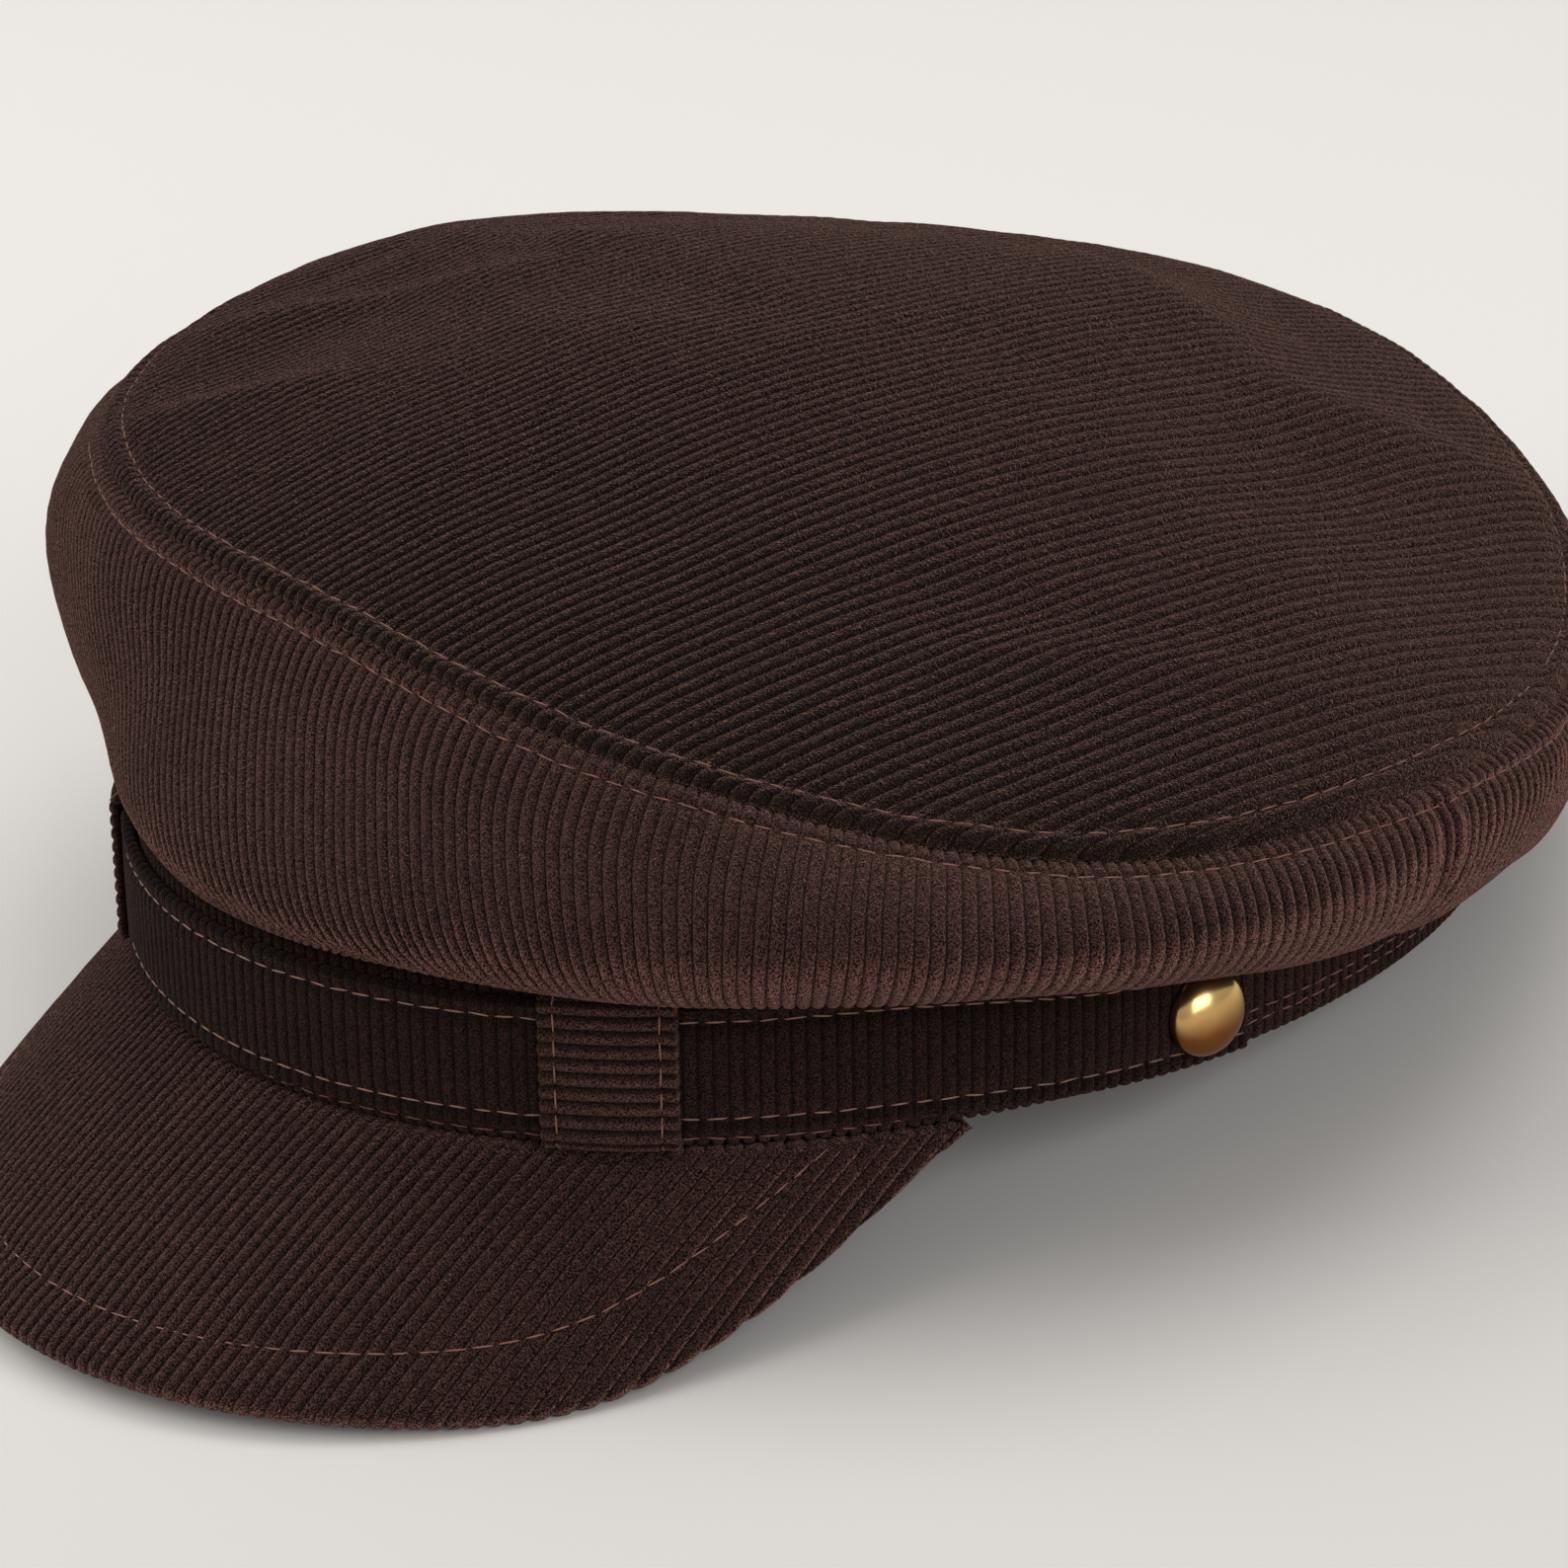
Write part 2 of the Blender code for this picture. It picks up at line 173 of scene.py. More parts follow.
# degrees, half_width, depth
SIDE_PUCKERS = (
    (-150, 9.0, 0.60),
    (-96, 10.0, 0.50),
    (89, 2.5, 0.60),
    (104, 4.0, 0.35),
    (116, 4.0, 0.55),
    (134, 5.0, 0.80),
    (160, 8.0, 0.60),
)

# %% [markdown]
# ## Where the cap stands
# On a table a skipper cap tips back: it rests on the back of its band and on the sides of its peak.
# The head band's top edge is flat and level in the cap's own drawing, so its faces in the packed
# model say how far the cap is tipped and where it stands. Nothing needs to be measured by hand.

# %% From the level drawing to the table
def standing_place(band_mesh):
    """The turn and place that carry the level cap to where it stands."""
    band_mesh.calc_loop_triangles()
    normal, middle, total = Vector(), Vector(), 0.0
    for face in band_mesh.loop_triangles:
        if face.normal.z > 0.9:
            normal += face.normal * face.area
            middle += face.center * face.area
            total += face.area
    normal.normalize()
    turned = Matrix.Rotation(-math.atan2(normal.y, normal.z), 4, "X")
    middle /= total
    return Matrix.Translation(middle - turned.to_3x3() @ Vector((0, 0, BAND_HEIGHT))) @ turned


STANDING = standing_place(frame["nodes"]["head_band"].data)
TURN = np.array(STANDING.to_3x3())
PLACE = np.array(STANDING.translation)


def stood(points):
    """Points of the level cap, carried to the table. What would sink into it is pressed flat."""
    moved = np.asarray(points) @ TURN.T + PLACE
    moved[..., 2] = np.maximum(moved[..., 2], 0.0)
    return moved


print("tipped", round(math.degrees(STANDING.to_euler().x), 3), "degrees at", [round(v, 5) for v in PLACE])

# %% [markdown]
# ## The camera, the table and the light
# The camera comes first, so that every later step can be looked at. It looks down on the wearer's
# left front through a long lens, which keeps the ovals calm. The light is plain studio light: a
# large soft source above and to the left, a weaker one from the right, a faint one overhead, and a
# pale surround that fills the shadows and gives the brass something to mirror.

# %% Camera
CAMERA_TURN = 48.24
CAMERA_RISE = 21.97
CAMERA_ROLL = -1.04
CAMERA_AWAY = 0.700
CAMERA_LENS = 115.5
CAMERA_AIM = Vector((0.0026, -0.0120, 0.0152))


def make_camera():
    turn, rise, roll = (math.radians(v) for v in (CAMERA_TURN, CAMERA_RISE, CAMERA_ROLL))
    back = Vector((math.sin(turn) * math.cos(rise), -math.cos(turn) * math.cos(rise), math.sin(rise)))
    level = Vector((math.cos(turn), math.sin(turn), 0))
    over = back.cross(level)
    right = level * math.cos(roll) + over * math.sin(roll)
    up = over * math.cos(roll) - level * math.sin(roll)
    facing = Matrix((right, up, back)).transposed().to_4x4()
    camera = add_object("camera", bpy.data.cameras.new("camera"))
    camera.data.lens = CAMERA_LENS
    camera.data.clip_start = 0.01
    camera.data.clip_end = 50
    camera.matrix_world = STANDING @ Matrix.Translation(CAMERA_AIM + back * CAMERA_AWAY) @ facing
    bpy.context.scene.camera = camera
    return camera


camera = make_camera()
print("the camera is", round(camera.location.z * 1000), "mm over the table")

# %% Light
KEY_WATTS = 22.0
FILL_WATTS = 14.5
TOP_WATTS = 7.0
SURROUND_COLOUR = (0.86, 0.845, 0.83)
SURROUND_STRENGTH = 0.52


def soft_light(name, place, size, watts, colour=(1, 1, 1)):
    """A square soft box that faces the cap."""
    lamp = bpy.data.lights.new(name, "AREA")
    lamp.shape = "SQUARE"
    lamp.size = size
    lamp.energy = watts
    lamp.color = colour
    light = add_object(name, lamp)
    light.location = place
    light.rotation_euler = (Vector((0, 0, 0.04)) - Vector(place)).to_track_quat("-Z", "Y").to_euler()
    return light


soft_light("key_light", (-0.95, -0.75, 1.10), 1.6, KEY_WATTS, (1.0, 0.985, 0.96))
soft_light("fill_light", (1.45, -0.25, 0.75), 1.1, FILL_WATTS, (0.97, 0.985, 1.0))
soft_light("top_light", (0.1, 0.5, 1.5), 1.0, TOP_WATTS)

surround = bpy.data.worlds.new("surround")
surround.use_nodes = True
surround.node_tree.nodes["Background"].inputs["Color"].default_value = (*SURROUND_COLOUR, 1)
surround.node_tree.nodes["Background"].inputs["Strength"].default_value = SURROUND_STRENGTH
bpy.context.scene.world = surround
bpy.context.scene.view_settings.view_transform = "Standard"

# %% Helpers for node trees
def add_node(tree, kind, plugs=(), **settings):
    """Adds a node with its settings, and with what goes into its inputs."""
    node = tree.nodes.new(kind)
    for name, value in settings.items():
        setattr(node, name, value)
    plug_all(tree, node, plugs)
    return node


def plug_all(tree, node, plugs):
    """Joins a socket to each input named, or sets the input where the source is a plain value."""
    for socket, source in dict(plugs).items():
        if isinstance(source, bpy.types.NodeSocket):
            tree.links.new(source, node.inputs[socket])
        else:
            node.inputs[socket].default_value = source


def maths(tree, operation, *values):
    return add_node(tree, "ShaderNodeMath", enumerate(values), operation=operation).outputs[0]


def scaled(tree, vector, factor):
    plugs = {0: vector, "Scale": factor}
    return add_node(tree, "ShaderNodeVectorMath", plugs, operation="SCALE").outputs[0]


def noise(tree, scale, detail=2.0):
    where = add_node(tree, "ShaderNodeTexCoord").outputs["Object"]
    plugs = {"Vector": where, "Scale": scale, "Detail": detail}
    return add_node(tree, "ShaderNodeTexNoise", plugs).outputs["Fac"]


def blend(tree, factor, first, second):
    """A colour between two, each a colour or a socket."""
    plugs = {"Factor": factor}
    for socket, colour in (("A", first), ("B", second)):
        plugs[socket] = colour if isinstance(colour, bpy.types.NodeSocket) else (*colour, 1)
    return add_node(tree, "ShaderNodeMix", plugs, data_type="RGBA").outputs["Result"]


def facing_up(tree):
    """How far a surface faces up, from -1 to 1."""
    normal = add_node(tree, "ShaderNodeNewGeometry").outputs["Normal"]
    return add_node(tree, "ShaderNodeSeparateXYZ", {0: normal}).outputs["Z"]


def bumped(tree, height, strength, distance):
    plugs = {"Height": height, "Strength": strength, "Distance": distance}
    return add_node(tree, "ShaderNodeBump", plugs).outputs["Normal"]


def new_material(name):
    made = bpy.data.materials.new(name)
    made.use_nodes = True
    return made, made.node_tree, made.node_tree.nodes["Principled BSDF"]


# %% [markdown]
# ## The table
# A plain pale floor, wide enough that its edge never shows. It is a touch darker towards the viewer,
# as a studio sweep is where it runs out from under its lights.

# %% Table
FLOOR_COLOUR = (0.675, 0.653, 0.630)
FLOOR_NEAR = 0.80
FLOOR_FADE, FLOOR_FADED = 3.0, 0.35
FLOOR_REACH = 6.0


def make_floor():
    material, tree, shader = new_material("pale_floor")
    turn = math.radians(CAMERA_TURN)
    where = add_node(tree, "ShaderNodeTexCoord").outputs["Object"]
    to_camera = {0: where, 1: (math.sin(turn), -math.cos(turn), 0)}
    nearness = add_node(tree, "ShaderNodeVectorMath", to_camera, operation="DOT_PRODUCT").outputs["Value"]
    near = maths(tree, "MULTIPLY_ADD", nearness, FLOOR_FADE, FLOOR_FADED)
    plug_all(tree, shader, {
        "Base Color": blend(tree, near, FLOOR_COLOUR, [v * FLOOR_NEAR for v in FLOOR_COLOUR]),
        "Roughness": 0.95,
        "Specular IOR Level": 0.1,
    })
    bpy.ops.mesh.primitive_circle_add(vertices=96, radius=FLOOR_REACH, fill_type="NGON")
    floor = bpy.context.object
    floor.name = "pale_floor"
    floor.data.materials.append(material)
    return floor


floor = make_floor()

# %% [markdown]
# ## The cap's surfaces
# Each surface is a function of where you are on the cap: round the head, and up, out or along. The
# same function gives the cloth its shape and later the stitches their place, so a stitch always
# lies on its cloth. NumPy works them out for thousands of places at a time.

# %% Lines round the head
RIM_SAG = 0.0010
SAG_FACES = -132.0
SAG_FROM, SAG_EASE = 0.1, 0.6
SAG_REACH = 0.0040
PUFF_RISE = 0.0009
PUFF_REACH = 0.0060
PUFF_FROM, PUFF_TO = 35.0, -22.0
PUFF_EASE = 38.0
RIM, RIM_RISE, FOLD, FOLD_HANG, SWELL = 1, 2, 3, 4, 5


def smoothstep(share):
    share = np.clip(share, 0.0, 1.0)
    return share * share * (3 - 2 * share)


def unit(ways):
    return ways / np.linalg.norm(ways, axis=-1, keepdims=True)


def distances(points):
    """How far along its line each point is."""
    steps = np.linalg.norm(np.diff(points, axis=0), axis=-1)
    return np.concatenate([np.zeros_like(steps[:1]), np.cumsum(steps, axis=0)])


def read_line(where, along, points):
    """Points of a line at places along it."""
    return np.stack([np.interp(where, along, points[:, axis]) for axis in range(3)], axis=-1)


def column(index, degrees):
    """A column of CROWN_ROWS read at each direction, on a smooth closed curve through its rows."""
    count = len(CROWN_ROWS)
    place = (np.asarray(degrees, float) - CROWN_ROWS[0, 0]) / (360 / count)
    first = np.floor(place).astype(int)
    t = place - first
    p, q, r, s = (CROWN_ROWS[(first + i) % count, index] for i in (-1, 0, 1, 2))
    return q + t * ((r - p) + t * ((2 * p - 5 * q + 4 * r - s) + t * (3 * (q - r) + s - p))) / 2


def round_head(degrees, out, height):
    """Points on the head band's oval, moved out from it, at a height."""
    turn = np.radians(degrees)
    x = (HEAD_WIDTH / 2 + out) * np.sin(turn)
    y = -(HEAD_LENGTH / 2 + out) * np.cos(turn)
    return np.stack(np.broadcast_arrays(x, y, height), axis=-1)


def outward(degrees):
    """The level direction square to the head band's oval."""
    turn = np.radians(degrees)
    return unit(np.stack([np.sin(turn) / HEAD_WIDTH, -np.cos(turn) / HEAD_LENGTH, 0 * turn], axis=-1))


def length_of_degree(degrees):
    """How long a degree is along the head band's oval."""
    turn = np.radians(degrees)
    return np.radians(np.hypot(HEAD_WIDTH / 2 * np.cos(turn), HEAD_LENGTH / 2 * np.sin(turn)))


def crown_oval(degrees, front, side, back, share):
    turn = np.radians(degrees)
    half_length = (HEAD_LENGTH + front + back) / 2
    middle = (back - front) / 2
    x = (HEAD_WIDTH / 2 + side) * share * np.sin(turn)
    y = middle - half_length * share * np.cos(turn)
    return np.stack([x, y, 0 * x], axis=-1)


def lean_height(points):
    return -math.tan(math.radians(LEAN_LEFT)) * points[..., 0]


def rim_sink(degrees):
    """At the back and right the full cloth of the tip sags a little over its seam."""
    facing = np.cos(np.radians(degrees - SAG_FACES))
    return RIM_SAG * smoothstep((SAG_FROM + facing) / SAG_EASE)


def puff(degrees, away):
    """Round the back the tip is cut full and stands up a little beside its seam."""
    round_back = degrees % 360
    risen = smoothstep((round_back - PUFF_FROM) / PUFF_EASE)
    left = smoothstep((PUFF_TO + 360 - round_back) / PUFF_EASE)
    return PUFF_RISE * risen * left * away / PUFF_REACH * np.exp(1 - away / PUFF_REACH)


def rim_line(degrees):
    """The seam between the crown's side and its tip."""
    points = crown_oval(degrees, RIM_FRONT, RIM_SIDE, RIM_BACK, column(RIM, degrees))
    rise = RIM_HEIGHT * (1 + column(RIM_RISE, degrees)) - rim_sink(degrees)
    points[..., 2] = CROWN_SEAT + rise + lean_height(points)
    return points


def fold_line(degrees):
    """The lowest line of the crown's side."""
    points = crown_oval(degrees, FOLD_FRONT, FOLD_SIDE, FOLD_BACK, column(FOLD, degrees))
    points[..., 2] = CROWN_SEAT - FOLD_DROP * column(FOLD_HANG, degrees)
    return points


def soft_waves(points, size, seed):
    """Smooth rises and falls between about -1 and 1, of about this size, the same on every run."""
    draw = np.random.default_rng(seed)
    total = 0.0
    for _ in range(7):
        way = draw.normal(size=3)
        way *= draw.uniform(0.7, 1.4) / np.linalg.norm(way)
        total = total + np.sin(points @ way * (math.tau / size) + draw.uniform(0, math.tau))
    return total / 3.5


# %% [markdown]
# ## A topstitched seam
# Where two panels of the crown meet, the spare cloth inside is pressed open and sewn down along
# both sides of the seam. From outside that gives a groove at the seam itself, a padded welt on
# either side, and a shallow valley along each row of stitches. One small function of the distance
# from the seam says all of it, and the same valley runs along the rows on the strap, keepers and peak.

# %% The shape of a seam
STITCH_INSET = 0.0029
WELT_RISE = 0.00042
STITCH_SINK = 0.00042
STITCH_VALLEY = 0.0008
STITCH_PRESS = 0.6
SEAM_ROLL = 0.0010
SLACK_RISE = 0.0005
TIP_SLACK_SIZE, SIDE_SLACK_SIZE = 0.045, 0.030
TIP_GATHER, SIDE_GATHER = 0.00022, 0.00025
GATHER_SIZE, GATHER_REACH = 0.011, 0.009


def stitch_valley(away, inset, depth, width=STITCH_VALLEY):
    """How far a row of stitches pulls the cloth down, at a distance from the edge it follows."""
    return depth * np.exp(-(((away - inset) / width) ** 2))


def seam_rise(away):
    """How far the cloth stands out at a distance from its seam."""
    welt = WELT_RISE * np.sin(np.pi * np.clip(away / STITCH_INSET, 0, 1))
    return welt - stitch_valley(away, STITCH_INSET, STITCH_SINK)


def seam_roll(away):
    """How far the cloth has rolled down into the seam."""
    left = np.clip(SEAM_ROLL - away, 0, SEAM_ROLL)
    return SEAM_ROLL - np.sqrt(np.maximum(SEAM_ROLL**2 - left**2, 0))


def pile_left(away):
    """How much of the pile still stands at a distance from a seam: the stitches press it down."""
    return 1 - stitch_valley(away, STITCH_INSET, STITCH_PRESS)


def gathers(points, away, rise, seed):
    """Small waves where the cloth is eased into its seam."""
    return rise * soft_waves(points, GATHER_SIZE, seed) * np.exp(-away / GATHER_REACH)


# %% The crown's side
PROFILE_STEPS = 48


def bezier(a, b, c, d, t):
    s = 1 - t
    return a * s**3 + b * 3 * s * s * t + c * 3 * s * t * t + d * t**3


def pucker(degrees, share):
    """How far the puckers pull the side in, at a share of the way up from the fold to the rim."""
    pulled = 0.0
    for middle, half_width, depth in SIDE_PUCKERS:
        across = ((degrees - middle + 180) % 360 - 180) / half_width
        pulled = pulled + depth * np.exp(-across * across)
    return PUCKER_DEPTH * pulled * (1 - share) ** 2


class CrownSide:
    """The crown's side along some directions, read by the distance below the rim."""

    def __init__(self, degrees):
        self.degrees = np.asarray(degrees, float)
        self.out = outward(self.degrees)
        seat = round_head(self.degrees, -BAND_WALL / 2, CROWN_SEAT)
        fold = fold_line(self.degrees)
        top = rim_line(self.degrees) - np.array((0, 0, SEAM_ROLL))
        reach = np.sum((fold - seat) * self.out, axis=-1, keepdims=True)
        shoulder = seat + self.out * reach * SHOULDER_SHARE
        left = self.out * reach * (1 - SHOULDER_SHARE)
        rise = np.array((0, 0, 1)) * (top - fold)[..., 2:]
        swell = self.out * SIDE_SWELL * column(SWELL, self.degrees)[..., None]
        low = fold + swell * FOLD_SWELL + rise * FOLD_HOLD
        high = top + swell * RIM_SWELL - rise * RIM_HOLD
        points = []
        for share in np.linspace(1, 0, PROFILE_STEPS):
            pulled = pucker(self.degrees, share)[..., None]
            points.append(bezier(fold, low, high, top, share) - self.out * pulled)
        for share in np.linspace(1, 0, PROFILE_STEPS // 2)[1:]:
            leave, reach_fold = shoulder + left * SHOULDER_HOLD, fold - left * UNDER_FOLD_HOLD
            points.append(bezier(shoulder, leave, reach_fold, fold, share))
        points.append(seat)
        self.points = np.array(points)
        self.down = distances(self.points)
        self.to_fold = self.down[PROFILE_STEPS - 1]
        self.to_seat = self.down[-1]

    def at(self, down):
        """Points at distances below the rim, one row for each, with the seams' rise and roll."""
        down = np.broadcast_to(down, (len(down), len(self.degrees)))
        found = np.empty((*down.shape, 3))
        for i in range(len(self.degrees)):
            found[:, i] = read_line(down[:, i], self.down[:, i], self.points[:, i])
        away = self.seam_distance()
        lift = seam_rise(down) - seam_roll(down) + seam_rise(away) - seam_roll(away)
        lift = lift + SLACK_RISE * soft_waves(found, SIDE_SLACK_SIZE, 3)
        lift = lift + gathers(found, down, SIDE_GATHER, 4)
        return found + self.out * lift[..., None]

    def seam_distance(self):
        """How far each direction is from the nearer seam of the two side panels, along the cloth."""
        gap = BACK_SEAM_DEGREES - np.abs((self.degrees + 180) % 360 - 180)
        return np.abs(gap) * (length_of_degree(self.degrees) + np.radians(FOLD_SIDE / 2))


# %% The crown's tip
MIDDLE = crown_oval(0.0, RIM_FRONT, RIM_SIDE, RIM_BACK, 0.0)
MIDDLE[2] = CROWN_SEAT + RIM_HEIGHT + lean_height(MIDDLE)
ROUND = np.linspace(-180, 180, 1441)
RIM_POINTS = rim_line(ROUND)
ARM = RIM_POINTS - MIDDLE
ARM_TURN = np.unwrap(np.arctan2(ARM[:, 0], -ARM[:, 1]))
ARM_REACH = np.hypot(ARM[:, 0], ARM[:, 1])
ARM_SLOPE = np.gradient(ARM_REACH, ARM_TURN)
ARM_SQUARE = ARM_REACH / np.hypot(ARM_REACH, ARM_SLOPE)

# Small creases that the solid model leaves out. The columns are those of TIP_DENTS.
TIP_CREASES = (
    (-75, 0.86, 0.22, 0.035, 80, 0.30),
    (-112, 0.88, 0.16, 0.035, 88, 0.28),
    (-135, 0.90, 0.20, 0.040, 84, 0.32),
    (160, 0.88, 0.20, 0.040, 70, 0.35),
    (135, 0.86, 0.18, 0.040, 65, 0.25),
    (60, 0.62, 0.20, 0.050, 75, 0.18),
)

# Soft crests where the cloth lies over its seams, each from one place to another in the level plan,
# in millimetres: x, y, x, y, rise, width on the side towards the camera, width on the far side.
TIP_CRESTS = (
    (-92, -43, -58, -9, 2.6, 11, 4.0),
    (-80, -79, -50, -52, 2.6, 8, 3.5),
    (-92, 8, -56, 9, 1.8, 9, 4.0),
    (-28, 65, 24, 57, 2.0, 11, 4.5),
    (34, 55, 66, 84, 2.6, 11, 5.0),
    (62, -34, 92, 6, 1.1, 5, 4.0),
)
CREST_LENGTH = 0.6
CREST_SHOULDERS = 0.4
CREST_ROUND = 0.04
CREST_FALL = 0.65


def tip_ridges(x, y):
    raised = 0.0
    for x1, y1, x2, y2, rise, near, far in TIP_CRESTS:
        length = math.hypot(x2 - x1, y2 - y1)
        way_x, way_y = (x2 - x1) / length, (y2 - y1) / length
        away_x, away_y = x * 1000 - (x1 + x2) / 2, y * 1000 - (y1 + y2) / 2
        along = (away_x * way_x + away_y * way_y) / (length * CREST_LENGTH)
        across = away_x * way_y - away_y * way_x
        across = (across / np.where(across > 0, near, far)) ** 2
        shape = (1 + CREST_SHOULDERS * np.sqrt(1 + across)) / (1 + CREST_SHOULDERS)
        raised = raised + rise * shape * np.exp(-(along**4) - (across + CREST_ROUND) ** CREST_FALL)
    return raised / 1000


def arm_reading(turn, values):
    return np.interp(turn, ARM_TURN, values, period=math.tau)


def tip_dents(x, y, rows):
    half_width = HEAD_WIDTH / 2 + RIM_SIDE
    lowered = 0.0
    for degrees, reach, length, width, turn, depth in rows:
        centre = MIDDLE + (rim_line(np.array(float(degrees))) - MIDDLE) * reach
        away_x, away_y = (x - centre[0]) / half_width, (y - centre[1]) / half_width
        heading = math.radians(degrees + turn)
        along = away_x * math.sin(heading) - away_y * math.cos(heading)
        across = away_x * math.cos(heading) + away_y * math.sin(heading)
        lowered = lowered + depth * np.exp(-((along / length) ** 2) - (across / width) ** 2)
    return DENT_DEPTH * lowered


def tip_place(x, y):
    """For places in the level plan: the direction, the share of the way to the rim, the distance to it."""
    away_x, away_y = x - MIDDLE[0], y - MIDDLE[1]
    turn = np.arctan2(away_x, -away_y)
    reach = arm_reading(turn, ARM_REACH)
    share = np.clip(np.hypot(away_x, away_y) / reach, 0, 1)
    return turn, share, (1 - share) * reach * arm_reading(turn, ARM_SQUARE)


def tip_surface(x, y):
    """The tip's points over places in the level plan."""
    turn, share, away = tip_place(x, y)
    degrees = np.degrees(turn)
    rim_height = arm_reading(turn, RIM_POINTS[:, 2])
    z = MIDDLE[2] + (rim_height - MIDDLE[2]) * share + TIP_DOME * (1 - share * share)
    z = z + rim_sink(degrees) * (share - np.exp(-away / SAG_REACH)) + puff(degrees, away)
    z = z + tip_ridges(x, y) * (1 - share**8)
    z = z - (tip_dents(x, y, TIP_DENTS) + tip_dents(x, y, TIP_CREASES)) * (1 - share**4)
    points = np.stack([x, y, z], axis=-1)
    z = z + SLACK_RISE * soft_waves(points, TIP_SLACK_SIZE, 1) * (1 - share**4)
    points[..., 2] = z + gathers(points, away, TIP_GATHER, 2) + seam_rise(away) - seam_roll(away)
    return points


# %% The peak
PEAK_SPAN = (HEAD_WIDTH + PEAK_END_WIDTH) / 2
PEAK_HALF_WIDTH = PEAK_SPAN * math.sin(math.radians(PEAK_HALF_ANGLE))


def peak_ends(x):
    """Where a line from back to front across the peak starts at the band and ends at the edge."""
    degrees = np.degrees(np.arcsin(x / PEAK_SPAN))
    share = np.abs(degrees) / PEAK_HALF_ANGLE
    width = 1 - np.minimum(share, 1) ** PEAK_CORNER_POWER
    start = round_head(degrees, PEAK_END_WIDTH / 2, -CLEARANCE)
    end = start.copy()
    end[..., 1] -= PEAK_REACH * width + PEAK_END_WIDTH
    end[..., 2] -= (PEAK_DROOP + PEAK_SIDE_DROOP * share**2) * width
    return start, end


# %% [markdown]
# ## Corduroy as geometry
# A wale is a ridge of cut pile, wide and softly flat on top, with a narrow groove beside it. Bump
# mapping can't give the scalloped edges where wales are cut or folded, so the ridges are real. Every
# cloth piece is built with six points to a wale and carries an attribute that counts wales; one
# Geometry Nodes tree turns that count into ridges on all of them. Its sizes are named inputs, so a
# finer or deeper corduroy is one number away.

# %% The corduroy tree
WALE = 0.00194
WALE_HEIGHT = 0.00058
WALE_SUNK = 0.7
WALE_UNEVENNESS = 0.0001
UNEVEN_SCALE = 420.0
GROOVE_NARROWS = 2.3
WALE_STEPS = np.array((0.0, 0.09, 0.28, 0.50, 0.72, 0.91))


def new_tree(name, sizes):
    """A geometry tree with named inputs: label, socket kind and default for each."""
    tree = bpy.data.node_groups.new(name, "GeometryNodeTree")
    tree.interface.new_socket("Geometry", in_out="INPUT", socket_type="NodeSocketGeometry")
    for label, kind, default in sizes:
        socket = tree.interface.new_socket(label, in_out="INPUT", socket_type="NodeSocket" + kind)
        if default is not None:
            socket.default_value = default
    tree.interface.new_socket("Geometry", in_out="OUTPUT", socket_type="NodeSocketGeometry")
    return tree, add_node(tree, "NodeGroupInput").outputs, add_node(tree, "NodeGroupOutput")


def finish_tree(tree, geometry, material, result):
    """Ends a tree the way the export needs: real meshes with their material."""
    realized = add_node(tree, "GeometryNodeRealizeInstances", {"Geometry": geometry}).outputs[0]
    painted = add_node(tree, "GeometryNodeSetMaterial", {"Geometry": realized, "Material": material})
    plug_all(tree, result, {"Geometry": painted.outputs[0]})


def read_attribute(tree, name):
    node = add_node(tree, "GeometryNodeInputNamedAttribute", {"Name": name}, data_type="FLOAT")
    return node.outputs["Attribute"]


def make_corduroy_tree():
    tree, sizes, result = new_tree("corduroy", (
        ("Wale Height", "Float", WALE_HEIGHT),
        ("Wale Sunk", "Float", WALE_SUNK),
        ("Unevenness", "Float", WALE_UNEVENNESS),
        ("Material", "Material", None),
    ))
    swing = maths(tree, "SINE", maths(tree, "MULTIPLY", read_attribute(tree, "wale"), math.pi))
    flank = maths(tree, "SUBTRACT", 1.0, maths(tree, "ABSOLUTE", swing))
    hollow = maths(tree, "POWER", flank, GROOVE_NARROWS)
    ridge = maths(tree, "SUBTRACT", maths(tree, "SUBTRACT", 1.0, hollow), sizes["Wale Sunk"])
    height = maths(tree, "MULTIPLY", ridge, sizes["Wale Height"])
    wander = add_node(tree, "ShaderNodeTexNoise", {"Scale": UNEVEN_SCALE, "Detail": 1.0}).outputs[0]
    wander = maths(tree, "MULTIPLY", maths(tree, "SUBTRACT", wander, 0.5), sizes["Unevenness"])
    raised = maths(tree, "MULTIPLY", maths(tree, "ADD", height, wander), read_attribute(tree, "raised"))
    normal = add_node(tree, "GeometryNodeInputNormal").outputs[0]
    offset = scaled(tree, normal, raised)
    moved = add_node(tree, "GeometryNodeSetPosition", {"Geometry": sizes["Geometry"], "Offset": offset})
    finish_tree(tree, moved.outputs[0], sizes["Material"], result)
    return tree


def grow(obj, tree, **sizes):
    """Runs a tree on an object and returns the result as a plain mesh."""
    modifier = obj.modifiers.new(tree.name, "NODES")
    modifier.node_group = tree
    for item in tree.interface.items_tree:
        label = item.name.replace(" ", "_").lower()
        if item.item_type == "SOCKET" and item.in_out == "INPUT" and label in sizes:
            modifier[item.identifier] = sizes[label]
    bpy.context.view_layer.update()
    graph = bpy.context.evaluated_depsgraph_get()
    evaluated = obj.evaluated_get(graph)
    mesh = bpy.data.meshes.new_from_object(evaluated, preserve_all_data_layers=True, depsgraph=graph)
    obj.modifiers.remove(modifier)
    return mesh


CORDUROY = make_corduroy_tree()
made_pieces = []

